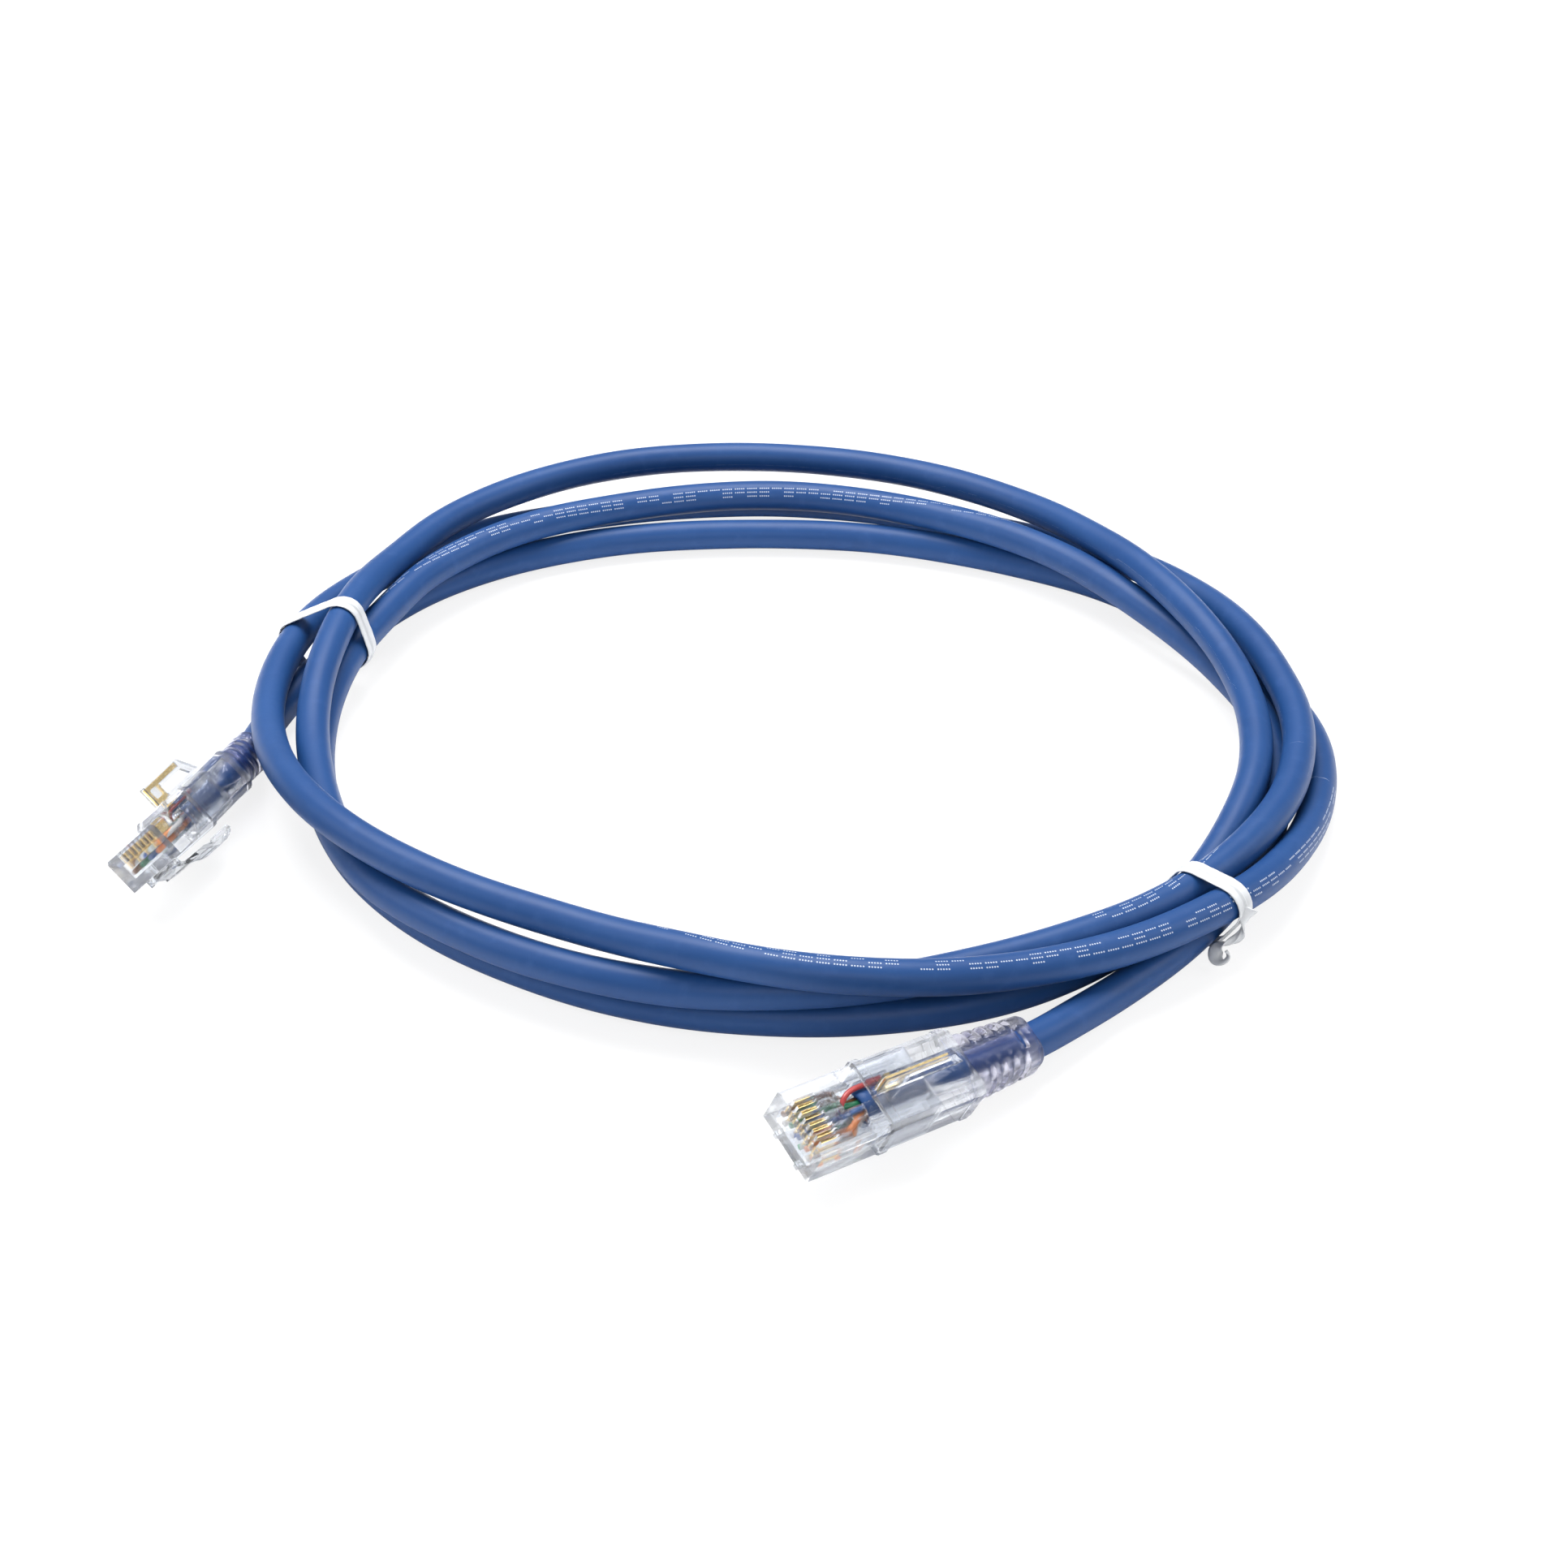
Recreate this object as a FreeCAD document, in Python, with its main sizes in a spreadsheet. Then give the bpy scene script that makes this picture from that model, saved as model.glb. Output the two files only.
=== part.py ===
import FreeCAD, Part
import Sketcher
import math
import os

# Ethernet patch cable, about 2.1 m of round blue cable gathered in an oval
# coil of three and a half turns, held by two twist ties, with a clear eight
# position plug on each end.  Each plug has a rear housing with a fin that
# carries a ninth, sensing contact, and a clear ribbed strain relief boot.
#
# Units are millimetres.  +Z is up, the coil lies flat, and the origin is the
# middle of the footprint, at floor level.
#
# Each plug is drawn in its own frame: x across the pins (pin 1 at +x),
# y from the nose towards the cable, z towards the contact side, with z = 0 at
# the exposed edge of the contacts.

os.makedirs("parts", exist_ok=True)
V = FreeCAD.Vector
doc = FreeCAD.newDocument("patch_cable")

# ---------------------------------------------------------------- dimensions
# alias, value, note; plug positions are in the plug's own frame
DIMS = [
    ("origin_x", 6.139, "shift of the layout to the footprint centre, x"),
    ("origin_y", 0.245, "shift of the layout to the footprint centre, y"),
    ("origin_z", 0.668, "shift of the layout to the floor"),
    # cable and conductors
    ("jacket_dia", 5.8, "outside diameter of the cable jacket"),
    ("jacket_bore", 4.4, "bore of the cable jacket"),
    ("jacket_start", 11.35, "cut end of the jacket, from the nose"),
    ("wire_dia", 0.9, "insulated conductor, outside"),
    ("sense_wire_dia", 0.8, "ninth conductor, outside"),
    ("wire_ring", 1.5, "radius of the ring the eight conductors run on"),
    ("pin_pitch", 1.016, "contact pitch"),
    ("row_high", -2.3, "upper row of conductors in the plug"),
    ("row_low", -3.3, "lower row of conductors in the plug"),
    ("cable_axis", -2.55, "cable axis in the plug frame"),
    ("cut_margin", 1.0, "how far outside a piece its bore's sketch lies"),
    # plug body
    ("body_half", 5.84, "half width of the plug body"),
    ("body_top", 0.7, "top face of the plug body"),
    ("body_bottom", -5.8, "bottom face of the plug body"),
    ("body_bevel", 0.5, "bevel of the long top edges"),
    ("body_front_len", 12.6, "length of the wide part of the body"),
    ("insert_half", 4.9, "half width of the part inside the housing"),
    ("insert_overlap", 0.5, "how far that part reaches into the wide part"),
    ("insert_end", 22.2, "rear end of the body"),
    ("cavity_dia", 6.1, "round cavity for the jacket"),
    ("cavity_start", 11.1, "front of the jacket cavity"),
    ("cavity_reach", 20, "length of the cavity's cut"),
    ("throat_dia", 4.7, "round throat behind the load bar"),
    ("throat_start", 8.8, "front of the throat"),
    ("throat_len", 2.6, "length of the throat's cut"),
    ("channel_half", 4.15, "half width of the conductor channel"),
    ("channel_start", 0.9, "front of the conductor channel"),
    ("channel_overlap", 0.2, "how far the channel runs into the cavity"),
    ("channel_top", -1.4, "ceiling of the conductor channel"),
    ("channel_floor", -4.2, "floor of the conductor channel"),
    ("slot_width", 0.45, "contact slot"),
    ("slot_start", 1.2, "front of the contact slots"),
    ("slot_len", 3.6, "length of the contact slots"),
    ("slot_overlap", 0.1, "how far the slots cut into the channel"),
    ("loop_far", 2.95, "turn-back pocket, reach to the fin wire's side"),
    ("loop_near", 0.45, "turn-back pocket, reach to the other side"),
    ("loop_start", 7.75, "front of the turn-back pocket"),
    ("loop_end", 17.4, "rear of the turn-back pocket"),
    ("loop_depth", 1.3, "depth of the turn-back pocket"),
    ("loop_deep_far", 1.5, "its deep part, reach to the fin wire's side"),
    ("loop_deep_near", 0.3, "its deep part, reach to the other side"),
    ("loop_deep_end", 9.6, "rear of the deep part"),
    ("loop_deep_depth", 1.6, "depth of the deep part below z = 0"),
    ("lug_outer", 3.1, "half width over the latch lugs"),
    ("lug_inner", 2.3, "half width between the latch lugs"),
    ("lug_half_len", 0.95, "half length of the lugs about the latch pin"),
    ("lug_drop", 1.25, "height of the lugs below the body"),
    ("lug_overlap", 0.1, "how far the lugs reach into the body"),
    ("lug_bore", 0.92, "bore of the latch lugs"),
    ("lug_bore_reach", 9, "length of the lug bore's cut"),
    # contacts and load bar
    ("blade_thick", 0.34, "contact thickness"),
    ("blade_start", 1.4, "front of the contacts"),
    ("blade_len", 3.1, "length of the contacts"),
    ("blade_gap", 0.1, "gap between a contact and its conductor"),
    ("bar_start", 5.2, "front of the load bar"),
    ("bar_len", 2.3, "length of the load bar"),
    ("bar_half", 4.0, "half width of the load bar"),
    ("bar_top", -1.55, "top of the load bar"),
    ("bar_bottom", -4.05, "bottom of the load bar"),
    ("bar_hole", 1.1, "load bar hole"),
    ("bar_hole_reach", 6, "length of the load bar holes' cut"),
    # latch
    ("latch_pin", 0.82, "diameter of the latch pin"),
    ("latch_root", 1.06, "diameter of the latch root around the pin"),
    ("latch_y", 1.4, "latch pin, from the nose"),
    ("latch_z", -6.4, "latch pin, below the contacts"),
    ("latch_half", 2.15, "half width of the latch arm"),
    ("latch_thick", 0.8, "thickness of the latch arm"),
    ("shoulder_half", 3.1, "half width of the latch shoulders"),
    ("shoulder_start", 4.7, "front of the latch shoulders"),
    ("shoulder_len", 3.0, "length of the latch shoulders"),
    # rear housing
    ("house_start", 12.75, "front of the rear housing"),
    ("house_len", 17.75, "length of the rear housing"),
    ("house_half", 5.95, "half width of the rear housing"),
    ("house_top", 1.5, "top of the rear housing"),
    ("house_bottom", -6.5, "bottom of the rear housing"),
    ("house_bevel", 1.05, "long bevels of the rear housing"),
    ("band_len", 1.5, "front band of the rear housing"),
    ("band_rise", 0.25, "height of the front band"),
    ("collar_back", 2.2, "front of the rear band, from the housing's end"),
    ("collar_len", 1.4, "rear band of the rear housing"),
    ("collar_rise", 0.15, "height of the rear band"),
    ("house_cut_half", 5.05, "half width of the housing cavity"),
    ("house_cut_top", 0.85, "ceiling of the housing cavity"),
    ("house_cut_bottom", -5.95, "floor of the housing cavity"),
    ("house_cut_end", 22.35, "end of the housing cavity"),
    ("house_cut_reach", 12, "length of the housing cavity's cut"),
    ("house_bore", 6.2, "bore for the cable behind the cavity"),
    ("house_bore_overlap", 0.5, "how far that bore starts in the cavity"),
    ("house_bore_reach", 14, "length of that bore's cut"),
    ("fin_half", 0.55, "half thickness of the fin"),
    ("fin_setback", 0.35, "front of the fin, behind the housing's front"),
    ("fin_sink", 0.3, "how far the fin reaches into the housing"),
    ("fin_top", 5.5, "top of the fin"),
    ("fin_end", 25.8, "rear end of the fin's top edge"),
    ("fin_foot", 29.2, "where the fin's slope meets the housing"),
    ("fin_foot_rise", 0.4, "height of the fin at its foot"),
    ("fin_slot_half", 0.26, "half width of the contact slot in the fin"),
    ("fin_slot_lead", 0.5, "start of the slot's cut ahead of the housing"),
    ("fin_slot_drop", 0.2, "top of the contact slot, below the fin's top"),
    ("side_margin", 0.5, "start of a sideways cut beside its piece"),
    ("side_reach", 3, "length of a sideways cut"),
    # sensing contact and the slot for its tail
    ("sense_half", 0.17, "half thickness of the sensing contact"),
    ("tail_start", 15.2, "front of the contact's tail"),
    ("tail_end", 16.4, "rear of the contact's tail"),
    ("tail_top", 1.9, "top of the tail, inside the strip"),
    ("foot_z", 0.52, "underside of the foot"),
    ("foot_reach", 1.7, "reach of the foot to the fin wire's side"),
    ("foot_thick", 0.2, "thickness of the foot"),
    ("tail_slot_half", 0.3, "half width of the tail's slot"),
    ("tail_slot_gap", 0.3, "gap before and behind the tail"),
    ("tail_slot_top", 2.0, "top of the tail slot's cut"),
    ("tail_slot_depth", 1.6, "depth of the tail slot's cut"),
    # boot
    ("boot_start", 30.65, "front of the boot"),
    ("boot_end", 44.0, "rear end of the boot"),
    ("boot_bore", 6.12, "bore of the boot"),
    ("boot_bore_reach", 16, "length of the boot bore's cut"),
    ("boot_front_half", 5.2, "half width of the boot at the front"),
    ("boot_front_rise", 3.5, "half height of the boot at the front"),
    ("boot_front_bevel", 1.5, "corner bevel of the boot at the front"),
    ("boot_rear_half", 3.85, "half width of the boot at the rear"),
    ("boot_rear_rise", 3.75, "half height of the boot at the rear"),
    ("boot_rear_bevel", 1.6, "corner bevel of the boot at the rear"),
    ("groove_width", 1.0, "width of a side groove in the boot"),
    ("groove_pitch", 2.3, "pitch of the grooves"),
    ("groove_first", 33.1, "first groove"),
    ("groove_floor", 3.72, "floor of the grooves, from the middle"),
    ("groove_outer", 6.0, "outer limit of the grooves' cut"),
    ("groove_rise", 1.9, "half height of the grooves"),
    ("top_slot_half", 1.9, "half width of the slot on top of the boot"),
    ("top_slot_start", 40.9, "front of the slot on top"),
    ("top_slot_end", 42.0, "rear of the slot on top"),
    ("top_slot_top", 2.0, "top of that slot's cut"),
    ("top_slot_depth", 2.6, "depth of that slot's cut"),
    # twist ties
    ("tie_width", 3.6, "width of the twist tie"),
    ("tie_tail_dia", 1.3, "twisted tail of the tie"),
]
sheet = doc.addObject("Spreadsheet::Sheet", "Dims")
for row, (alias, value, note) in enumerate(DIMS, start=1):
    sheet.set("A%d" % row, note)
    sheet.set("B%d" % row, repr(float(value)))
    sheet.setAlias("B%d" % row, alias)
doc.recompute()


def dim(alias):
    return float(getattr(sheet, alias))


# ------------------------------------------------------------------- layout
# PATH is the cable's centre line (x, y, z) from the boot of plug a to the boot
# of plug b.  Strands that cross keep more than a cable diameter between their
# centres.  All places in this section are moved by SHIFT before use.
PATH = [
    (35.59, -78.34, 4.67), (43.00, -71.32, 3.73), (50.45, -63.91, 3.05), (57.84, -56.34, 2.90),
    (64.63, -48.38, 2.90), (70.68, -39.88, 2.91), (75.92, -30.77, 2.90), (80.16, -21.05, 2.90),
    (82.96, -10.98, 2.90), (84.81, -0.72, 2.90), (85.61, 9.63, 2.96), (84.10, 19.78, 3.32),
    (80.23, 29.46, 4.25), (75.02, 38.59, 5.62), (68.97, 47.20, 6.88), (62.58, 55.42, 7.90),
    (56.15, 63.35, 8.48), (49.05, 70.53, 8.72), (40.87, 76.81, 8.89), (31.91, 82.48, 8.72),
    (22.41, 87.25, 8.49), (12.45, 90.68, 8.43), (2.16, 92.55, 8.44), (-8.27, 92.79, 8.43),
    (-18.63, 91.48, 8.36), (-28.78, 88.86, 8.33), (-38.66, 85.02, 8.47), (-47.93, 79.83, 8.78),
    (-56.17, 73.32, 8.90), (-63.28, 65.78, 8.78), (-68.91, 57.05, 8.77), (-72.94, 47.61, 8.51),
    (-76.41, 38.46, 8.14), (-79.25, 28.63, 7.51), (-81.06, 18.32, 5.70), (-81.26, 8.02, 3.79),
    (-79.97, -2.30, 2.99), (-77.41, -12.58, 2.90), (-73.58, -22.38, 2.90), (-68.64, -31.46, 2.90),
    (-62.47, -39.72, 2.90), (-55.07, -47.08, 2.90), (-46.76, -53.47, 2.90), (-37.80, -58.91, 2.90),
    (-28.39, -63.48, 2.90), (-18.52, -66.84, 2.90), (-8.27, -68.83, 2.90), (2.14, -69.67, 2.90),
    (12.59, -69.22, 2.90), (22.90, -67.57, 2.90), (32.83, -64.45, 2.90), (42.11, -59.72, 2.90),
    (50.49, -53.44, 2.90), (57.90, -46.10, 2.90), (64.38, -38.03, 3.18), (69.97, -29.58, 4.38),
    (74.76, -20.85, 6.06), (78.63, -11.33, 7.39), (80.96, -0.81, 8.23), (81.50, 9.87, 9.03),
    (80.39, 20.27, 9.90), (77.88, 30.25, 10.98), (74.19, 39.79, 12.04), (69.77, 49.26, 12.72),
    (64.84, 58.80, 12.65), (59.32, 67.91, 12.12), (53.35, 76.55, 11.51), (46.58, 84.45, 10.85),
    (38.77, 91.36, 10.44), (29.98, 97.07, 10.25), (20.49, 101.50, 10.11), (10.50, 104.64, 10.00),
    (0.18, 106.49, 9.97), (-10.27, 107.00, 9.99), (-20.70, 106.10, 10.08), (-30.86, 103.63, 10.24),
    (-40.45, 99.53, 10.39), (-49.24, 93.90, 10.57), (-57.03, 86.96, 10.84), (-63.68, 78.97, 11.11),
    (-68.95, 70.21, 11.28), (-73.05, 60.82, 11.63), (-76.46, 50.61, 12.70), (-78.76, 39.67, 13.81),
    (-80.31, 29.20, 13.75), (-81.41, 19.13, 12.64), (-81.62, 8.98, 10.89), (-80.52, -1.34, 9.49),
    (-78.25, -11.73, 9.03), (-75.30, -21.82, 8.88), (-71.41, -31.35, 8.50), (-66.00, -40.08, 8.21),
    (-58.80, -47.79, 8.22), (-50.48, -54.44, 8.32), (-41.62, -60.13, 8.36), (-32.19, -64.79, 8.49),
    (-22.32, -68.29, 8.64), (-12.13, -70.39, 8.73), (-1.74, -70.88, 8.96), (8.66, -70.16, 9.07),
    (18.85, -68.00, 9.08), (28.75, -64.54, 8.98), (38.43, -60.59, 9.03), (47.80, -56.00, 9.12),
    (56.66, -50.23, 8.91), (64.73, -43.40, 8.83), (71.76, -35.84, 9.00), (77.88, -27.54, 9.13),
    (82.97, -18.24, 8.95), (86.55, -8.23, 8.81), (88.59, 2.03, 8.74), (88.95, 12.23, 8.75),
    (87.81, 22.05, 8.86), (85.84, 31.63, 9.00), (82.97, 41.71, 8.48), (78.73, 51.88, 7.50),
    (73.21, 61.25, 6.62), (66.49, 69.47, 5.73), (58.83, 76.62, 4.62), (50.42, 82.85, 3.65),
    (41.39, 88.18, 3.09), (31.89, 92.62, 2.91), (22.03, 96.18, 2.90), (11.88, 98.78, 2.92),
    (1.52, 100.24, 2.93), (-8.93, 100.50, 2.93), (-19.35, 99.60, 2.91), (-29.67, 97.72, 2.90),
    (-39.86, 94.98, 2.90), (-49.69, 91.23, 3.13), (-58.52, 86.02, 3.69), (-66.00, 79.17, 4.27),
    (-72.66, 71.12, 5.13), (-78.33, 62.30, 6.28), (-82.90, 52.92, 7.50), (-86.57, 43.12, 8.51),
    (-89.02, 33.02, 9.14), (-90.11, 22.71, 9.48), (-90.03, 12.31, 9.84), (-88.61, 1.98, 10.52),
    (-85.90, -8.12, 11.68), (-82.00, -17.83, 13.12), (-76.95, -26.94, 14.22),
    (-70.49, -35.14, 14.54), (-62.73, -42.27, 14.32), (-54.26, -48.27, 13.94),
    (-45.24, -53.30, 13.53), (-35.81, -57.94, 13.33), (-26.15, -62.70, 13.53),
    (-16.35, -67.63, 14.45), (-6.40, -71.62, 14.96), (3.78, -73.37, 14.43),
    (14.08, -73.44, 13.60), (24.10, -71.86, 12.39), (33.96, -68.79, 11.12), (43.73, -64.92, 10.26),
    (53.22, -59.97, 9.56), (62.07, -53.84, 9.00), (69.95, -47.04, 8.41), (76.52, -39.47, 7.21),
    (82.05, -30.73, 5.72), (86.74, -21.05, 4.21), (90.28, -10.97, 3.24), (92.36, -0.74, 2.91),
    (92.68, 9.54, 2.91), (90.77, 19.74, 2.91), (86.96, 29.69, 2.90), (81.98, 39.05, 2.90),
    (76.55, 47.83, 2.90), (70.61, 56.12, 2.96), (63.39, 63.53, 3.00), (54.93, 69.77, 2.95),
    (45.73, 74.88, 2.90), (36.14, 79.13, 2.90), (26.26, 82.62, 2.95), (16.10, 85.10, 2.96),
    (5.70, 86.48, 2.92), (-4.78, 86.90, 2.90), (-15.28, 86.55, 2.90), (-25.69, 85.33, 2.93),
    (-35.90, 83.00, 2.94), (-45.72, 79.42, 2.91), (-55.01, 74.61, 2.90), (-63.48, 68.48, 2.93),
    (-70.76, 61.02, 2.93), (-76.70, 52.48, 2.91), (-81.37, 43.20, 2.90), (-85.33, 33.51, 2.90),
    (-88.86, 23.58, 2.97), (-91.39, 13.43, 3.17), (-93.09, 3.18, 3.91),
]

# Each plug's origin and the directions of its x (across), y (along), z (up).
PLUGS = {
    "a": dict(at=(2.065, -105.963, 12.104),
              across=(0.5247601, -0.7468196, -0.4085185),
              along=(0.7815355, 0.612885, -0.1165085),
              up=(0.3373857, -0.2581327, 0.9052836)),
    "b": dict(at=(-103.606, -38.597, 13.206),
              across=(0.7193497, -0.0266283, 0.6941375),
              along=(0.2004022, 0.9647331, -0.1706724),
              up=(-0.6651127, 0.2618798, 0.6993169)),
}

# Each tie's centre, the band's axis (normal) and the direction of angle 0
# (side).  inner and outer are radii at even angles, turning from side to +Z;
# tail is the centre line of the twisted end.
TIE_LEFT = dict(
    at=(-83.25, 34.873, 8.691), normal=(-0.24919, -0.96846, 0.0), side=(0.96846, -0.24919, 0.0),
    inner=[
        8.578, 8.359, 8.283, 8.349, 8.564, 8.948, 9.439, 9.626, 9.475, 9.045, 8.332, 7.463,
        6.858, 6.446, 6.181, 6.035, 5.997, 6.062, 6.236, 6.536, 6.992, 7.628, 8.137, 8.423,
        8.481, 8.29, 7.927, 7.693, 7.598, 7.635, 7.807, 8.129, 8.629, 9.043, 9.142, 8.989,
        8.667, 8.072, 7.588, 7.276, 7.105, 7.06, 7.138, 7.344, 7.697, 8.203, 8.536, 8.689],
    outer=[
        9.029, 8.804, 8.724, 8.794, 9.021, 9.426, 9.897, 10.066, 9.925, 9.525, 8.888, 8.011,
        7.362, 6.92, 6.634, 6.478, 6.437, 6.507, 6.694, 7.016, 7.505, 8.136, 8.6, 8.869,
        8.921, 8.746, 8.386, 8.139, 8.039, 8.079, 8.261, 8.602, 9.118, 9.49, 9.582, 9.435,
        9.142, 8.576, 8.062, 7.73, 7.549, 7.501, 7.583, 7.802, 8.178, 8.677, 8.986, 9.129],
    tail=[])
TIE_RIGHT = dict(
    at=(66.145, -43.969, 5.77), normal=(0.65987, 0.75138, 0.0), side=(-0.75138, 0.65987, 0.0),
    inner=[
        7.144, 6.663, 6.344, 6.155, 6.078, 6.105, 6.241, 6.445, 6.545, 6.524, 6.394, 6.235,
        6.145, 6.161, 6.286, 6.529, 6.916, 7.487, 8.126, 8.495, 8.671, 8.651, 8.376, 7.813,
        7.116, 6.627, 6.301, 6.106, 6.023, 6.043, 6.17, 6.344, 6.41, 6.361, 6.198, 6.032,
        5.975, 6.021, 6.173, 6.447, 6.87, 7.489, 8.2, 8.651, 8.886, 8.837, 8.501, 7.845],
    outer=[
        7.664, 7.148, 6.805, 6.602, 6.519, 6.549, 6.694, 6.892, 6.986, 6.966, 6.84, 6.681,
        6.585, 6.603, 6.736, 6.998, 7.412, 8.023, 8.603, 8.948, 9.111, 9.092, 8.84, 8.337,
        7.638, 7.112, 6.763, 6.554, 6.464, 6.486, 6.622, 6.791, 6.85, 6.802, 6.648, 6.477,
        6.415, 6.464, 6.628, 6.922, 7.376, 8.04, 8.691, 9.111, 9.327, 9.284, 8.979, 8.394],
    tail=[(72.68, -49.76, 9.28), (72.19, -50.12, 7.12), (71.85, -50.4, 5.0),
          (70.41, -50.67, 3.4), (68.18, -50.81, 2.4), (67.97, -52.19, 1.2)])

SHIFT = V(dim("origin_x"), dim("origin_y"), dim("origin_z"))


def plug_placement(plug):
    x, y, z = plug["across"], plug["along"], plug["up"]
    matrix = FreeCAD.Matrix(x[0], y[0], z[0], 0,
                            x[1], y[1], z[1], 0,
                            x[2], y[2], z[2], 0,
                            0, 0, 0, 1)
    return FreeCAD.Placement(V(*plug["at"]) + SHIFT, FreeCAD.Placement(matrix).Rotation)


PLACE = {end: plug_placement(plug) for end, plug in PLUGS.items()}


def in_plug(end, x, y, z):
    """A point of a plug's frame, in the layout."""
    return PLACE[end].multVec(V(x, y, z))


# ---------------------------------------------------------- document helpers
NODES = []


def finish(obj, label, place=None):
    """Label a piece, place it and list it for export."""
    obj.Label = label
    if place is not None:
        obj.Placement = place
    NODES.append(obj)


def evaluate(value):
    """Value of a length: a number, or a formula on the sheet."""
    if isinstance(value, (int, float)):
        return float(value)
    result = sheet.evalExpression(value)
    return float(getattr(result, "Value", result))


def bind(obj, path, value):
    """Tie a property to its formula, if the value is one."""
    if isinstance(value, str):
        obj.setExpression(path, value)


def origin_plane(body, role):
    for feature in body.Origin.OriginFeatures:
        if feature.Role == role:
            return feature
    raise RuntimeError("no plane " + role)


def fix_point(profile, geometry, vertex, point):
    """Constrain a sketch point to its x and y; a zero puts it on the axis."""
    for kind, axis, value in (("DistanceX", -2, point[0]), ("DistanceY", -1, point[1])):
        number = evaluate(value)
        if abs(number) < 1e-9:
            profile.addConstraint(Sketcher.Constraint("PointOnObject", geometry, vertex, axis))
            continue
        index = profile.addConstraint(
            Sketcher.Constraint(kind, -1, 1, geometry, vertex, number))
        bind(profile, "Constraints[%d]" % index, value)


def sketch(body, name, role, offset, loops=(), circles=()):
    """Sketch of closed loops of points and of circles (x, y, diameter)."""
    profile = body.newObject("Sketcher::SketchObject", name)
    profile.AttachmentSupport = [(origin_plane(body, role), "")]
    profile.MapMode = "FlatFace"
    profile.AttachmentOffset = FreeCAD.Placement(V(0, 0, evaluate(offset)), FreeCAD.Rotation())
    bind(profile, "AttachmentOffset.Base.z", offset)
    for points in loops:
        first = profile.GeometryCount
        count = len(points)
        corners = [V(evaluate(x), evaluate(y), 0) for x, y in points]
        for i in range(count):
            line = Part.LineSegment(corners[i], corners[(i + 1) % count])
            profile.addGeometry(line, False)
        for i in range(count):
            profile.addConstraint(Sketcher.Constraint(
                "Coincident", first + i, 2, first + (i + 1) % count, 1))
        for i in range(count):
            fix_point(profile, first + i, 1, points[i])
    for x, y, dia in circles:
        diameter = evaluate(dia)
        circle = Part.Circle(V(evaluate(x), evaluate(y), 0), V(0, 0, 1), diameter / 2.0)
        geometry = profile.addGeometry(circle, False)
        index = profile.addConstraint(Sketcher.Constraint("Diameter", geometry, diameter))
        bind(profile, "Constraints[%d]" % index, dia)
        fix_point(profile, geometry, 3, (x, y))
    profile.Visibility = False
    return profile


def pad(body, name, profile, length, back=False):
    feature = body.newObject("PartDesign::Pad", name)
    feature.Profile = profile
    feature.Length = evaluate(length)
    bind(feature, "Length", length)
    feature.Reversed = back
    doc.recompute()


def pocket(body, name, profile, length, back=False):
    doc.recompute()
    before = body.Shape.Volume
    feature = body.newObject("PartDesign::Pocket", name)
    feature.Profile = profile
    feature.Type = 0
    feature.Length = evaluate(length)
    bind(feature, "Length", length)
    feature.Reversed = back
    doc.recompute()
    if not body.Shape.Volume < before - 1e-6:
        raise RuntimeError(name + " removed nothing")


def new_body(label):
    return doc.addObject("PartDesign::Body", label)


def rect(x0, x1, y0, y1):
    return [(x0, y0), (x1, y0), (x1, y1), (x0, y1)]


def centred(half, y0, y1):
    """Rectangle of a half width, symmetric about the sketch's y axis."""
    return rect("-" + half, half, y0, y1)


def octagon(half, bottom, top, bevel):
    """Rectangle with bevelled corners, symmetric about the sketch's y axis."""
    left, right = f"-({half})", half
    return [(f"{left} + {bevel}", bottom), (f"{right} - {bevel}", bottom),
            (right, f"{bottom} + {bevel}"), (right, f"{top} - {bevel}"),
            (f"{right} - {bevel}", top), (f"{left} + {bevel}", top),
            (left, f"{top} - {bevel}"), (left, f"{bottom} + {bevel}")]


# --------------------------------------------------------------- plug pieces
# A sketch on XZ looks along +y, so its offset is minus the distance from the
# nose; a pad from it that runs towards the cable is reversed.  A pocket runs
# the other way from a pad.

# Middle line of the latch arm (y, z): down from the nose, along the plug,
# and up at its end; then the two corners that overlap the arm with its root.
LATCH_LINE = [
    (1.9, -6.6), (3.0, -7.1), (4.6, -7.75), (7.0, -8.0), (11.8, -8.2), (13.4, -8.6),
    (14.8, -9.1), (16.2, -9.4), (17.8, -9.45), (19.2, -9.3), (20.3, -8.95), (21.1, -8.5)]
LATCH_ROOT_TOP = (1.3, -5.95)
LATCH_ROOT_BOTTOM = (1.3, -6.85)

# Side outlines (y, z) of the latch shoulders, of the cuts in the fin, and of
# the sensing contact's strip and eye.
SHOULDER_END = "Dims.shoulder_start + Dims.shoulder_len"
SHOULDER_OUTLINE = [
    ("Dims.shoulder_start", -8.1), (SHOULDER_END, -8.32),
    (SHOULDER_END, -7.6), ("Dims.shoulder_start", -7.45)]
FIN_SLOT_FRONT = "Dims.house_start - Dims.fin_slot_lead"
FIN_SLOT_TOP = "Dims.fin_top - Dims.fin_slot_drop"
FIN_SLOT_OUTLINE = [
    (FIN_SLOT_FRONT, 1.7), (17.5, 1.7), (17.5, 4.2), (25.2, 4.2),
    (25.2, FIN_SLOT_TOP), (FIN_SLOT_FRONT, FIN_SLOT_TOP)]
WINDOW_OUTLINE = [(18.3, 2.2), (27.4, 2.2), (26.0, 3.7), (18.3, 3.7)]
STRIP_OUTLINE = [
    (13.25, 1.8), (17.3, 1.8), (17.3, 4.35), (25.0, 4.35), (25.0, 5.2), (13.25, 5.2)]
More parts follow.
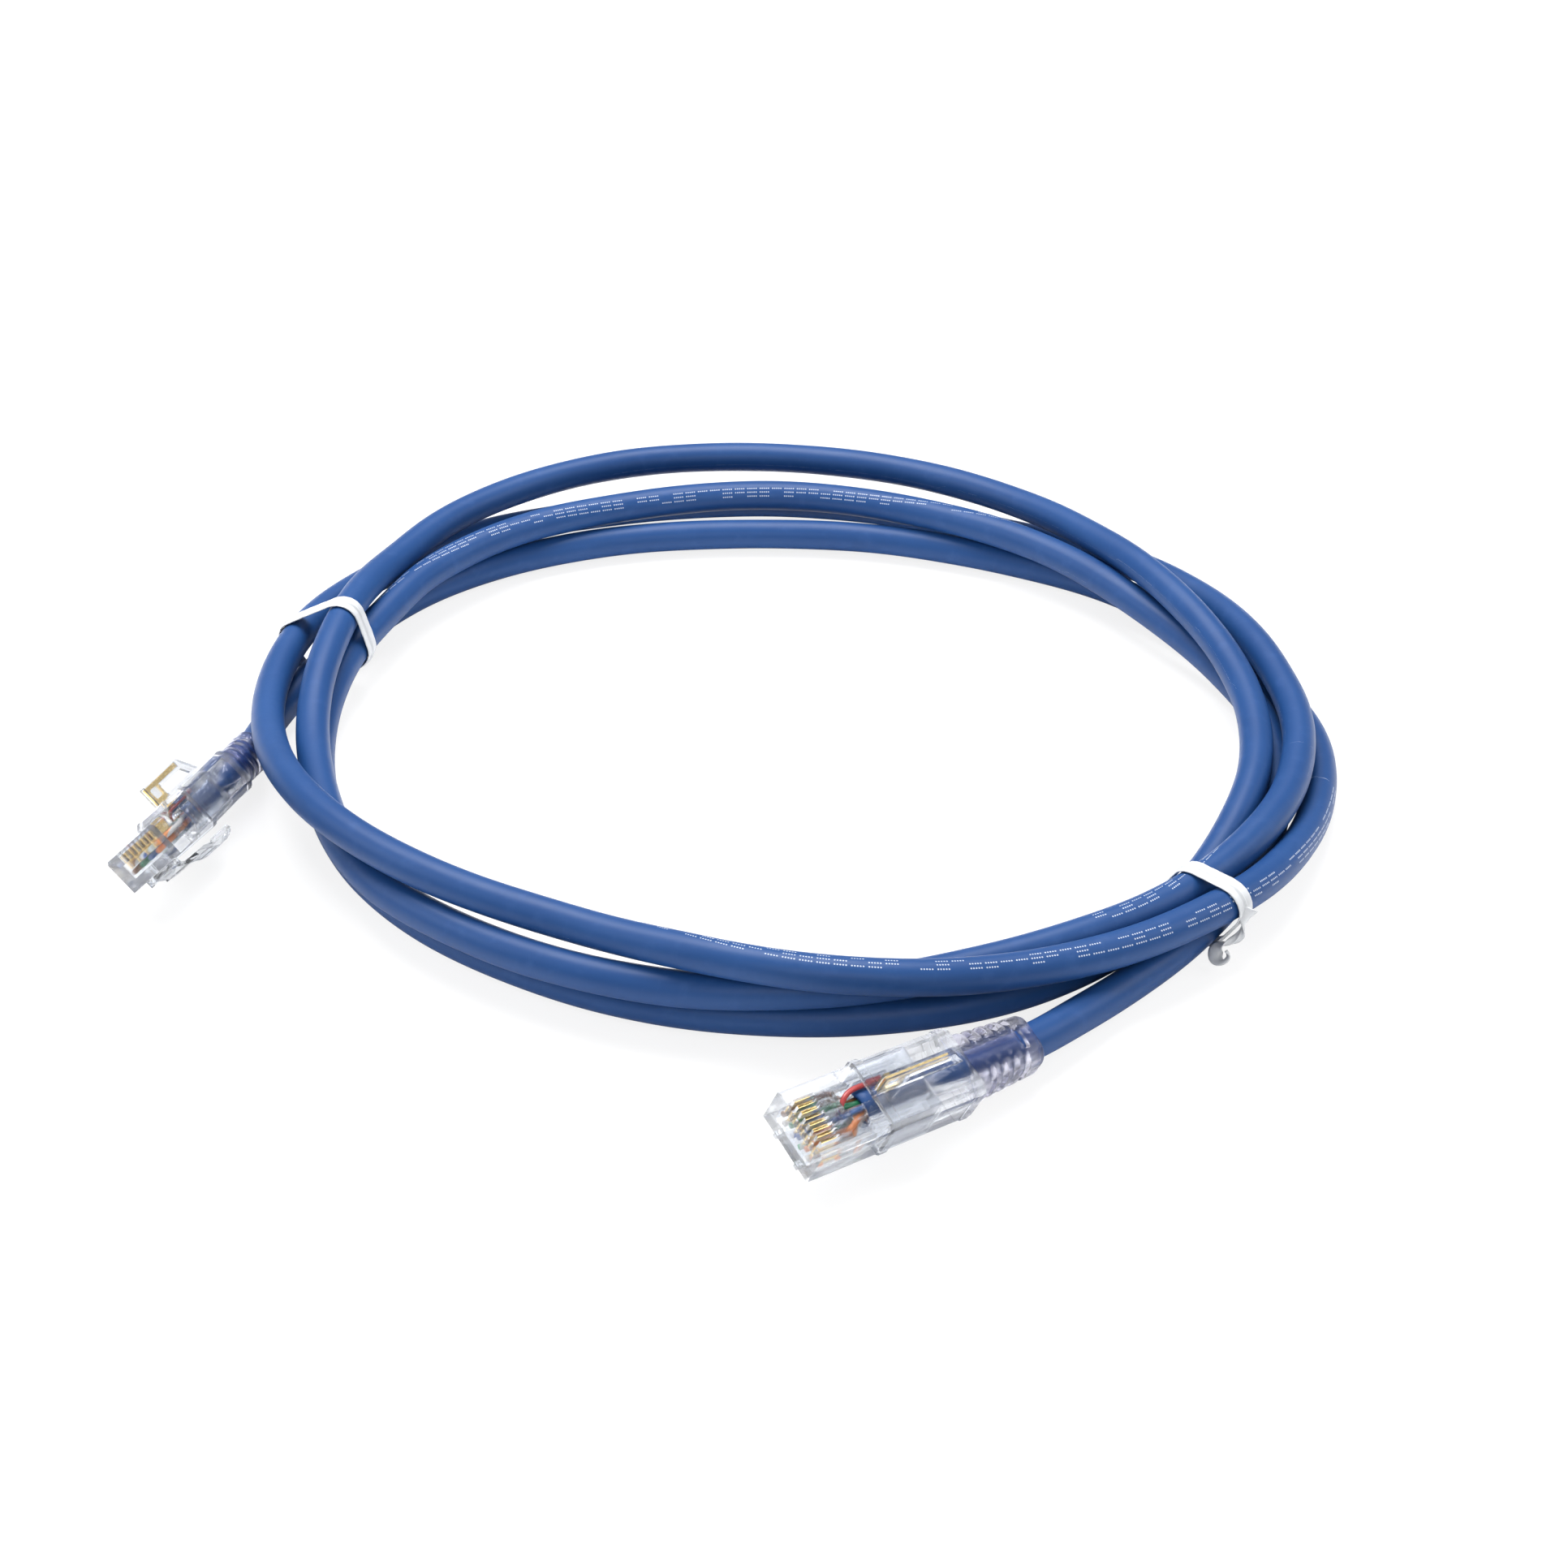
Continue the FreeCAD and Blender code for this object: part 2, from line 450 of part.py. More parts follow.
EYE_OUTLINE = [
    (14.3, 2.6), (16.3, 2.6), (16.6, 2.9), (16.6, 4.15),
    (16.3, 4.45), (14.3, 4.45), (14.05, 4.15), (14.05, 2.9)]


def pin_x(i):
    """Formula for the x of contact i, counted from pin 8."""
    return f"Dims.pin_pitch * {i - 3.5}"


def row_of(end, i):
    """Row of conductor i.  The bundle arrives turned over at the far plug, so
    the two rows change places there."""
    return "row_high" if (i % 2 == 0) == (end == "a") else "row_low"


def fin_wire_side(end, far, near):
    """Limits in x of a shape that reaches out to the side where the ninth
    conductor comes back: -x in plug a, +x in plug b."""
    return ("-" + far, near) if end == "a" else ("-" + near, far)


def plug_body(end):
    body = new_body("plug_body_" + end)
    right, top, bottom = "Dims.body_half", "Dims.body_top", "Dims.body_bottom"
    left, bevel = "-" + right, "Dims.body_bevel"
    # the wide front, with its long top edges broken
    profile = sketch(body, "front_" + end, "XZ_Plane", 0, [[
        (left, bottom), (right, bottom), (right, f"{top} - {bevel}"), (f"{right} - {bevel}", top),
        (f"{left} + {bevel}", top), (left, f"{top} - {bevel}")]])
    pad(body, "front_pad_" + end, profile, "Dims.body_front_len", back=True)
    profile = sketch(body, "insert_" + end, "XY_Plane", bottom, [centred(
        "Dims.insert_half", "Dims.body_front_len - Dims.insert_overlap", "Dims.insert_end")])
    pad(body, "insert_pad_" + end, profile, f"{top} - {bottom}")
    # channel for the conductors, then the round cavity for the jacket
    profile = sketch(body, "channel_" + end, "XY_Plane", "Dims.channel_top", [centred(
        "Dims.channel_half", "Dims.channel_start", "Dims.cavity_start + Dims.channel_overlap")])
    pocket(body, "channel_cut_" + end, profile, "Dims.channel_top - Dims.channel_floor")
    profile = sketch(body, "cavity_" + end, "XZ_Plane", "-Dims.cavity_start",
                     circles=[(0, "Dims.cable_axis", "Dims.cavity_dia")])
    pocket(body, "cavity_cut_" + end, profile, "Dims.cavity_reach")
    # round throat where the conductors gather into their ring
    profile = sketch(body, "throat_" + end, "XZ_Plane", "-Dims.throat_start",
                     circles=[(0, "Dims.cable_axis", "Dims.throat_dia")])
    pocket(body, "throat_cut_" + end, profile, "Dims.throat_len")
    # eight contact slots, open at the top
    slots = [rect(pin_x(i) + " - Dims.slot_width * 0.5", pin_x(i) + " + Dims.slot_width * 0.5",
                  "Dims.slot_start", "Dims.slot_start + Dims.slot_len") for i in range(8)]
    profile = sketch(body, "slots_" + end, "XY_Plane", top, slots)
    pocket(body, "slots_cut_" + end, profile, f"{top} - Dims.channel_top + Dims.slot_overlap")
    # pocket in the top where the ninth conductor turns back
    x0, x1 = fin_wire_side(end, "Dims.loop_far", "Dims.loop_near")
    profile = sketch(body, "loop_" + end, "XY_Plane", top,
                     [rect(x0, x1, "Dims.loop_start", "Dims.loop_end")])
    pocket(body, "loop_cut_" + end, profile, "Dims.loop_depth")
    x0, x1 = fin_wire_side(end, "Dims.loop_deep_far", "Dims.loop_deep_near")
    profile = sketch(body, "loop_deep_" + end, "XY_Plane", 0,
                     [rect(x0, x1, "Dims.loop_start", "Dims.loop_deep_end")])
    pocket(body, "loop_deep_cut_" + end, profile, "Dims.loop_deep_depth")
    # two lugs under the nose, bored for the latch pin
    for side, x0, x1 in (("left", "-Dims.lug_outer", "-Dims.lug_inner"),
                         ("right", "Dims.lug_inner", "Dims.lug_outer")):
        profile = sketch(body, f"lug_{side}_{end}", "XY_Plane", f"{bottom} - Dims.lug_drop", [rect(
            x0, x1, "Dims.latch_y - Dims.lug_half_len", "Dims.latch_y + Dims.lug_half_len")])
        pad(body, f"lug_pad_{side}_{end}", profile, "Dims.lug_drop + Dims.lug_overlap")
    profile = sketch(body, "lug_hole_" + end, "YZ_Plane", "-Dims.lug_outer - Dims.cut_margin",
                     circles=[("Dims.latch_y", "Dims.latch_z", "Dims.lug_bore")])
    pocket(body, "lug_bore_" + end, profile, "Dims.lug_bore_reach", back=True)
    finish(body, "plug_body_" + end, PLACE[end])


def thicken(line, thickness):
    """Closed outline of a strip of even thickness along a polyline."""
    left, right = [], []
    for i, (y, z) in enumerate(line):
        before = line[max(i - 1, 0)]
        after = line[min(i + 1, len(line) - 1)]
        dy, dz = after[0] - before[0], after[1] - before[1]
        length = math.hypot(dy, dz)
        ny, nz = -dz / length, dy / length
        left.append((y + ny * thickness / 2, z + nz * thickness / 2))
        right.append((y - ny * thickness / 2, z - nz * thickness / 2))
    return left + right[::-1]


def latch(end):
    body = new_body("latch_" + end)
    # pin that turns in the lugs, and the thicker root around it
    profile = sketch(body, "pin_" + end, "YZ_Plane", "-Dims.lug_outer",
                     circles=[("Dims.latch_y", "Dims.latch_z", "Dims.latch_pin")])
    pad(body, "pin_pad_" + end, profile, "Dims.lug_outer * 2")
    profile = sketch(body, "root_" + end, "YZ_Plane", "-Dims.latch_half",
                     circles=[("Dims.latch_y", "Dims.latch_z", "Dims.latch_root")])
    pad(body, "root_pad_" + end, profile, "Dims.latch_half * 2")
    outline = thicken(LATCH_LINE, dim("latch_thick"))
    outline[0] = LATCH_ROOT_TOP
    outline[-1] = LATCH_ROOT_BOTTOM
    profile = sketch(body, "arm_" + end, "YZ_Plane", "-Dims.latch_half", [outline])
    pad(body, "arm_pad_" + end, profile, "Dims.latch_half * 2")
    # wider locking shoulders
    profile = sketch(body, "shoulder_" + end, "YZ_Plane", "-Dims.shoulder_half",
                     [SHOULDER_OUTLINE])
    pad(body, "shoulder_pad_" + end, profile, "Dims.shoulder_half * 2")
    finish(body, "latch_" + end, PLACE[end])


def contacts(end):
    """Eight blades, each standing on its conductor's row."""
    compound = doc.addObject("Part::Compound", "contacts_" + end)
    blades = []
    for i in range(8):
        bottom = f"(Dims.{row_of(end, i)} + Dims.wire_dia / 2 + Dims.blade_gap)"
        blade = doc.addObject("Part::Box", "blade_%s_%d" % (end, 8 - i))
        blade.setExpression("Length", "Dims.blade_thick")
        blade.setExpression("Width", "Dims.blade_len")
        blade.setExpression("Height", "-" + bottom)
        blade.setExpression("Placement.Base.x", pin_x(i) + " - Dims.blade_thick / 2")
        blade.setExpression("Placement.Base.y", "Dims.blade_start")
        blade.setExpression("Placement.Base.z", bottom)
        blades.append(blade)
    compound.Links = blades
    doc.recompute()
    finish(compound, "contacts_" + end, PLACE[end])


def load_bar(end):
    body = new_body("load_bar_" + end)
    profile = sketch(body, "bar_" + end, "XZ_Plane", "-Dims.bar_start",
                     [centred("Dims.bar_half", "Dims.bar_bottom", "Dims.bar_top")])
    pad(body, "bar_pad_" + end, profile, "Dims.bar_len", back=True)
    holes = [(pin_x(i), "Dims." + row_of(end, i), "Dims.bar_hole") for i in range(8)]
    profile = sketch(body, "bar_holes_" + end, "XZ_Plane", "-Dims.bar_start + Dims.cut_margin",
                     circles=holes)
    pocket(body, "bar_bore_" + end, profile, "Dims.bar_hole_reach")
    finish(body, "load_bar_" + end, PLACE[end])


def house_outline(grow):
    """Cross-section of the rear housing, grown outwards by a formula."""
    return octagon("Dims.house_half + " + grow, "Dims.house_bottom - " + grow,
                   "Dims.house_top + " + grow, "Dims.house_bevel")


def rear_housing(end):
    body = new_body("rear_housing_" + end)
    front = "-Dims.house_start"
    profile = sketch(body, "shell_" + end, "XZ_Plane", front, [house_outline("0.0")])
    pad(body, "shell_pad_" + end, profile, "Dims.house_len", back=True)
    profile = sketch(body, "band_" + end, "XZ_Plane", front, [house_outline("Dims.band_rise")])
    pad(body, "band_pad_" + end, profile, "Dims.band_len", back=True)
    # a second band near the back
    profile = sketch(body, "collar_" + end, "XZ_Plane",
                     front + " - Dims.house_len + Dims.collar_back",
                     [house_outline("Dims.collar_rise")])
    pad(body, "collar_pad_" + end, profile, "Dims.collar_len", back=True)
    # the fin on the contact side
    fin_front, fin_base = "Dims.house_start + Dims.fin_setback", "Dims.house_top - Dims.fin_sink"
    profile = sketch(body, "fin_" + end, "YZ_Plane", "-Dims.fin_half", [[
        (fin_front, fin_base), ("Dims.fin_foot", fin_base),
        ("Dims.fin_foot", "Dims.house_top + Dims.fin_foot_rise"),
        ("Dims.fin_end", "Dims.fin_top"), (fin_front, "Dims.fin_top")]])
    pad(body, "fin_pad_" + end, profile, "Dims.fin_half * 2")
    # cavity for the back of the plug, and the bore behind it
    profile = sketch(body, "hollow_" + end, "XZ_Plane", "-Dims.house_cut_end", [centred(
        "Dims.house_cut_half", "Dims.house_cut_bottom", "Dims.house_cut_top")])
    pocket(body, "hollow_cut_" + end, profile, "Dims.house_cut_reach", back=True)
    profile = sketch(body, "bore_" + end, "XZ_Plane",
                     "-Dims.house_cut_end + Dims.house_bore_overlap",
                     circles=[(0, "Dims.cable_axis", "Dims.house_bore")])
    pocket(body, "bore_cut_" + end, profile, "Dims.house_bore_reach")
    # slot for the sensing contact, its way down, and a window through the fin
    profile = sketch(body, "fin_slot_" + end, "YZ_Plane", "Dims.fin_slot_half",
                     [FIN_SLOT_OUTLINE])
    pocket(body, "fin_slot_cut_" + end, profile, "Dims.fin_slot_half * 2")
    profile = sketch(body, "tail_slot_" + end, "XY_Plane", "Dims.tail_slot_top", [centred(
        "Dims.tail_slot_half", "Dims.tail_start - Dims.tail_slot_gap",
        "Dims.tail_end + Dims.tail_slot_gap")])
    pocket(body, "tail_slot_cut_" + end, profile, "Dims.tail_slot_depth")
    profile = sketch(body, "window_" + end, "YZ_Plane", "Dims.fin_half + Dims.side_margin",
                     [WINDOW_OUTLINE])
    pocket(body, "window_cut_" + end, profile, "Dims.side_reach")
    finish(body, "rear_housing_" + end, PLACE[end])


def sense_contact(end):
    """Strip in the fin with an eye, a tail down from it and a foot sideways."""
    body = new_body("sense_contact_" + end)
    profile = sketch(body, "strip_" + end, "YZ_Plane", "-Dims.sense_half", [STRIP_OUTLINE])
    pad(body, "strip_pad_" + end, profile, "Dims.sense_half * 2")
    profile = sketch(body, "eye_" + end, "YZ_Plane", "Dims.sense_half + Dims.side_margin",
                     [EYE_OUTLINE])
    pocket(body, "eye_cut_" + end, profile, "Dims.side_reach")
    profile = sketch(body, "tail_" + end, "YZ_Plane", "-Dims.sense_half",
                     [rect("Dims.tail_start", "Dims.tail_end", "Dims.foot_z", "Dims.tail_top")])
    pad(body, "tail_pad_" + end, profile, "Dims.sense_half * 2")
    x0, x1 = fin_wire_side(end, "Dims.foot_reach", "Dims.sense_half")
    profile = sketch(body, "foot_" + end, "XY_Plane", "Dims.foot_z",
                     [rect(x0, x1, "Dims.tail_start", "Dims.tail_end")])
    pad(body, "foot_pad_" + end, profile, "Dims.foot_thick")
    finish(body, "sense_contact_" + end, PLACE[end])


def boot(end):
    body = new_body("boot_" + end)
    axis = "Dims.cable_axis"
    front, rear = [
        sketch(body, f"boot_{which}_{end}", "XZ_Plane", offset, [octagon(
            f"Dims.boot_{which}_half", f"{axis} - Dims.boot_{which}_rise",
            f"{axis} + Dims.boot_{which}_rise", f"Dims.boot_{which}_bevel")])
        for which, offset in (("front", "-Dims.boot_start"), ("rear", "-Dims.boot_end"))]
    loft = body.newObject("PartDesign::AdditiveLoft", "boot_loft_" + end)
    loft.Profile = front
    loft.Sections = [rear]
    loft.Ruled = True
    doc.recompute()
    profile = sketch(body, "boot_hole_" + end, "XZ_Plane", "-Dims.boot_start + Dims.cut_margin",
                     circles=[(0, axis, "Dims.boot_bore")])
    pocket(body, "boot_bore_" + end, profile, "Dims.boot_bore_reach")
    # four grooves on each side
    left, right = [], []
    for k in range(4):
        y0 = f"Dims.groove_first + Dims.groove_pitch * {k}"
        y1 = y0 + " + Dims.groove_width"
        left.append(rect("-Dims.groove_outer", "-Dims.groove_floor", y0, y1))
        right.append(rect("Dims.groove_floor", "Dims.groove_outer", y0, y1))
    profile = sketch(body, "grooves_" + end, "XY_Plane", axis + " + Dims.groove_rise",
                     left + right)
    pocket(body, "groove_cut_" + end, profile, "Dims.groove_rise * 2")
    # slot on top near the rear end, where the jacket shows
    profile = sketch(body, "top_slot_" + end, "XY_Plane", "Dims.top_slot_top", [centred(
        "Dims.top_slot_half", "Dims.top_slot_start", "Dims.top_slot_end")])
    pocket(body, "top_slot_cut_" + end, profile, "Dims.top_slot_depth")
    finish(body, "boot_" + end, PLACE[end])


# ---------------------------------------------------------------- cable axis
CABLE_Z = dim("cable_axis")
ENTRY_Y = (28.0, 32.0, 36.0, 40.0)   # points of the axis inside each plug
COUNT = 420                          # steps between frames along the axis


def spline(points):
    curve = Part.BSplineCurve()
    curve.interpolate(Points=points)
    return curve


def unit_tangent(curve, parameter):
    tangent = curve.tangent(parameter)[0]
    tangent.normalize()
    return tangent


def mirrored(vector, normal):
    """The vector reflected in the plane across the normal."""
    return vector - normal * (2.0 / normal.dot(normal) * normal.dot(vector))


def least_turning_frames(curve, first_side):
    """Points, tangents and side directions that turn as little as possible."""
    start, stop = curve.FirstParameter, curve.LastParameter
    parameters = [start + (stop - start) * k / COUNT for k in range(COUNT + 1)]
    points = [curve.value(u) for u in parameters]
    tangents = [unit_tangent(curve, u) for u in parameters]
    sides = [first_side]
    for k in range(1, COUNT + 1):
        step = points[k] - points[k - 1]
        side = mirrored(sides[-1], step)
        bend = tangents[k] - mirrored(tangents[k - 1], step)
        if bend.dot(bend) >= 1e-12:
            side = mirrored(side, bend)
        side.normalize()
        sides.append(side)
    return points, tangents, sides


axis_curve = spline([in_plug("a", 0, y, CABLE_Z) for y in ENTRY_Y]
                    + [V(*p) + SHIFT for p in PATH]
                    + [in_plug("b", 0, y, CABLE_Z) for y in ENTRY_Y[::-1]])
AXIS_POINTS, AXIS_TANGENTS, AXIS_SIDES = least_turning_frames(
    axis_curve, PLACE["a"].Rotation.multVec(V(1, 0, 0)))

# leftover turn, spread evenly, so that pin 1 meets pin 1 at the far plug
far_x = PLACE["b"].Rotation.multVec(V(1, 0, 0))
LEFTOVER_TURN = math.atan2(far_x.dot(AXIS_TANGENTS[-1].cross(AXIS_SIDES[-1])),
                           far_x.dot(AXIS_SIDES[-1]))


# --------------------------------------------------------------------- tubes
def circle_face(center, normal, dia, bore=None):
    outer = Part.Face(Part.Wire(Part.Circle(center, normal, dia / 2.0).toShape()))
    if bore is None:
        return outer
    inner = Part.Face(Part.Wire(Part.Circle(center, normal, bore / 2.0).toShape()))
    return outer.cut(inner).Faces[0]


def swept(path, face):
    """Solid swept by a face along a wire, turned right side out."""
    shape = path.makePipe(face)
    shape = shape.Solids[0] if shape.Solids else Part.makeSolid(shape.Shells[0])
    if shape.Volume < 0:
        shape.reverse()
    return shape


def arc(start, tangent, stop):
    """Arc that leaves start along the tangent, with its direction at stop."""
    chord = stop - start
    normal = chord - tangent * chord.dot(tangent)
    length = normal.Length
    if length < 2e-4 * chord.Length:
        return Part.LineSegment(start, stop).toShape(), tangent
    normal = normal * (1.0 / length)
    radius = chord.dot(chord) / (2.0 * chord.dot(normal))
    centre = start + normal * radius
    angle = 2.0 * math.atan2(chord.dot(normal), chord.dot(tangent))
    middle = centre + (tangent * math.sin(angle / 2) - normal * math.cos(angle / 2)) * radius
    arrival = tangent * math.cos(angle) + normal * math.sin(angle)
    return Part.Arc(start, middle, stop).toShape(), arrival


def arc_chain(points, tangents):
    """Pairs of arcs through the points that meet without a kink."""
    edges = []
    for k in range(len(points) - 1):
        p0, p1, t0, t1 = points[k], points[k + 1], tangents[k], tangents[k + 1]
        chord, total = p1 - p0, t0 + t1
        spread = 2.0 * (1.0 - t0.dot(t1))
        if spread > 1e-9:
            root = math.sqrt(chord.dot(total) ** 2 + spread * chord.dot(chord))
            reach = (-chord.dot(total) + root) / spread
        else:
            reach = chord.dot(chord) / (4.0 * chord.dot(t1))
        joint = ((p0 + t0 * reach) + (p1 - t1 * reach)) * 0.5
        first, turned = arc(p0, t0, joint)
        edges += [first, arc(joint, turned, p1)[0]]
    return edges


def even_distances(total, step):
    count = int(round(total / step))
    return [total * k / count for k in range(count + 1)]


def graded_distances(total, fine, step, gap=0.8, growth=1.5):
    """Close together over the fine length at both ends, then evenly spaced."""
    near = []
    x = 0.0
    while x < fine:
        near.append(x)
        x += gap
    while gap < step * 0.8:
        near.append(x)
        x += gap
        gap *= growth
    middle = total - 2 * x
    count = int(round(middle / step))
    return (near + [x + middle * k / count for k in range(count + 1)]
            + [total - q for q in near[::-1]])


def tube(label, curve, distances, dia, bore=None, head=None, tail=None):
    """Round tube along a curve, with straight ends out to head and tail."""
    stations = [curve.parameterAtDistance(q) if q > 0 else curve.FirstParameter
                for q in distances[:-1]] + [curve.LastParameter]
    points = [curve.value(u) for u in stations]
    tangents = [unit_tangent(curve, u) for u in stations]
    edges = arc_chain(points, tangents)
    start = points[0]
    if head is not None:
        edges.insert(0, Part.LineSegment(head, start).toShape())
        start = head
    if tail is not None:
        edges.append(Part.LineSegment(points[-1], tail).toShape())
    feature = doc.addObject("Part::Feature", label)
    feature.Shape = swept(Part.Wire(edges), circle_face(start, tangents[0], dia, bore))
    finish(feature, label)


# ----------------------------------------------------------- cable and wires
WIRE_NAMES = ["brown", "white_brown", "green", "white_blue",
              "blue", "white_green", "orange", "white_orange"]   # pin 8 first
RING = dim("wire_ring")
CUT = dim("jacket_start")
STRAIGHT_Y = (1.05, 2.2, 3.4, 4.6, 5.7, 6.6)   # straight part, nose to load bar
RING_Y = (CUT + 2.5, 18.0, 23.0)               # in the ring, inside the jacket
FAN_GAP = 0.1      # from the fan to the load bar and to the jacket's end
FAN_STEPS = 6

# Ninth conductor in plug a (x, y, z): from the fin's contact forward over the
# top, down at the turn, and back along the cable axis.  In plug b x changes sign.
SENSE_TURN = [
    (-2.3, 16.2, 0.08), (-2.3, 14.5, 0.08), (-2.3, 12.6, 0.08), (-2.2, 10.9, 0.1),
    (-1.65, 9.4, 0.0), (-1.0, 8.6, -0.55), (-0.6, 8.3, -1.35), (-0.45, 8.5, -2.12),
    (-0.34, 9.25, -2.5), (-0.15, 10.4, -2.58), (0.0, 12.0, CABLE_Z),
    (0.0, 18.0, CABLE_Z), (0.0, 23.0, CABLE_Z)]


def ring_angle(i):
    """Angle of conductor i on the ring at plug a; 0 is plug a's +x."""
    sign = 1 if i % 2 == 0 else -1
    return math.radians(sign * (157.5 - 45.0 * (i // 2)))


def ring_point(k, angle):
    """Point of the ring at frame k."""
    turned = angle - LEFTOVER_TURN * k / COUNT
    x = AXIS_SIDES[k]
    z = x.cross(AXIS_TANGENTS[k])
    return AXIS_POINTS[k] + x * (RING * math.cos(turned)) + z * (RING * math.sin(turned))


def far_angle(angle):
    """A ring angle of plug a, seen in plug b's own frame."""
    point = PLACE["b"].inverse().multVec(ring_point(COUNT, angle))
    return math.atan2(point.z - CABLE_Z, point.x)


def wire_end(end, i, angle):
    """Points of conductor i from the nose through the load bar to the ring."""
    x0, z0 = dim("pin_pitch") * (i - 3.5), dim(row_of(end, i))
    x1, z1 = RING * math.cos(angle), CABLE_Z + RING * math.sin(angle)
    y0, y1 = dim("bar_start") + dim("bar_len") + FAN_GAP, CUT - FAN_GAP
    points = [in_plug(end, x0, y, z0) for y in STRAIGHT_Y]
    for k in range(FAN_STEPS + 1):
        s = k / FAN_STEPS
        blend = s * s * (3.0 - 2.0 * s)
        points.append(in_plug(end, x0 + (x1 - x0) * blend, y0 + (y1 - y0) * s,
                              z0 + (z1 - z0) * blend))
    return points + [in_plug(end, x1, y, z1) for y in RING_Y]


def cable_jacket():
    tube("cable_jacket", axis_curve, even_distances(axis_curve.length(), step=16.0),
         dim("jacket_dia"), bore=dim("jacket_bore"),
         head=in_plug("a", 0, CUT, CABLE_Z), tail=in_plug("b", 0, CUT, CABLE_Z))


def conductor(i, name):
    near, far = ring_angle(i), far_angle(ring_angle(i))
    if (row_of("b", i) == "row_high") != (math.sin(far) > 0):
        raise RuntimeError("conductor %d meets the wrong row" % i)
    curve = spline(wire_end("a", i, near)
                   + [ring_point(k, near) for k in range(0, COUNT + 1, 2)]
                   + wire_end("b", i, far)[::-1])
    tube("wire_" + name, curve, graded_distances(curve.length(), fine=12.0, step=18.0),
         dim("wire_dia"))


def sense_wire():
    curve = spline([in_plug("a", x, y, z) for x, y, z in SENSE_TURN]
                   + AXIS_POINTS[::2]
                   + [in_plug("b", -x, y, z) for x, y, z in SENSE_TURN[::-1]])
    tube("wire_sense_red", curve, graded_distances(curve.length(), fine=22.0, step=18.0),
         dim("sense_wire_dia"))


# --------------------------------------------------------------- twist ties
def twist_tie(label, layout):
    """Flat band around the strands, with its twisted tail if it has one."""
    centre = V(*layout["at"]) + SHIFT
    normal, side, up = V(*layout["normal"]), V(*layout["side"]), V(0, 0, 1)
    width = dim("tie_width")

    def ring_face(radii):
        points = []
        for k, radius in enumerate(radii):
            angle = 2 * math.pi * k / len(radii)
            points.append(centre + side * (radius * math.cos(angle))
                          + up * (radius * math.sin(angle)) - normal * (width / 2))
        curve = Part.BSplineCurve()
        curve.interpolate(Points=points, PeriodicFlag=True)
        return Part.Face(Part.Wire(curve.toShape()))

    section = ring_face(layout["outer"]).cut(ring_face(layout["inner"])).Faces[0]
    band = section.extrude(normal * width)
    if layout["tail"]:
        points = [V(*p) + SHIFT for p in layout["tail"]]
        curve = spline(points)
        face = circle_face(points[0], curve.tangent(curve.FirstParameter)[0],
                           dim("tie_tail_dia"))
        band = band.fuse(swept(Part.Wire(curve.toShape()), face)).removeSplitter()
    feature = doc.addObject("Part::Feature", label)
    feature.Shape = band.Solids[0]
    finish(feature, label)


# --------------------------------------------------------------------- build
for end in ("a", "b"):
    for piece in (plug_body, latch, contacts, load_bar, rear_housing, sense_contact, boot):
        piece(end)
cable_jacket()
for i, name in enumerate(WIRE_NAMES):
    conductor(i, name)
sense_wire()
twist_tie("twist_tie_left", TIE_LEFT)
twist_tie("twist_tie_right", TIE_RIGHT)

# ------------------------------------------------------------ check and write
doc.recompute()
for obj in doc.Objects:
    bad = [state for state in obj.State if state in ("Invalid", "Error")]
    if bad:
        raise RuntimeError("%s is %s" % (obj.Label, bad))
for obj in NODES:
    if obj.Shape.isNull() or not obj.Shape.isValid():
        raise RuntimeError("%s has a bad shape" % obj.Label)
for obj in NODES:
    obj.Shape.exportStep("parts/%s.step" % obj.Label)
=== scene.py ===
# A blue cable wound into a hank, with a clear plug and a milky boot at each end and a
# white twist tie round each side. The hank lies on the floor, z = 0, round the z axis;
# +x is right, +z is up and the camera looks from the front, -y. Sizes are in
# millimetres and become metres in new_mesh; materials and stage are in metres.
import bpy, bmesh, math
import numpy as np
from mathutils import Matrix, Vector


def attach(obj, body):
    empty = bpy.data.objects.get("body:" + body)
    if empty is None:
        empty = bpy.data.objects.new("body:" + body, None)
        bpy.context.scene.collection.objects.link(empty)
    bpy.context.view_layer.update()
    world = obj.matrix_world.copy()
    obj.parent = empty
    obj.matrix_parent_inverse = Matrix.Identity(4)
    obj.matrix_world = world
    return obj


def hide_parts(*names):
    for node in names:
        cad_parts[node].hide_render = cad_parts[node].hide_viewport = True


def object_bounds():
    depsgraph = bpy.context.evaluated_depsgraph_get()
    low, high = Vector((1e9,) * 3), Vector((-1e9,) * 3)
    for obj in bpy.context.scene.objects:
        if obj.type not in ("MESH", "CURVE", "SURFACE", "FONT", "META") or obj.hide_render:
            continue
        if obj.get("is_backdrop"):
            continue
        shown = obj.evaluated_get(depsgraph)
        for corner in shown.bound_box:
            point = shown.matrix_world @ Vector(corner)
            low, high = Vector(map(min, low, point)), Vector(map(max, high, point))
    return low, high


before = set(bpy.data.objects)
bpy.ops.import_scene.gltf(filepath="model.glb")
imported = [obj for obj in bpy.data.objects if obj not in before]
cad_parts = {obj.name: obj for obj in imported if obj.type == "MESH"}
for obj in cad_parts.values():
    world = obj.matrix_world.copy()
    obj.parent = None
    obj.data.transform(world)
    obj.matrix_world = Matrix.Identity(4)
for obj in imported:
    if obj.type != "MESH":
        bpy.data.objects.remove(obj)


def plain_box(box):
    # guards against bounds that do not come as two rows of numbers
    try:
        return [[float(q) for q in box[0]], [float(q) for q in box[1]]]
    except Exception:
        return str(box)


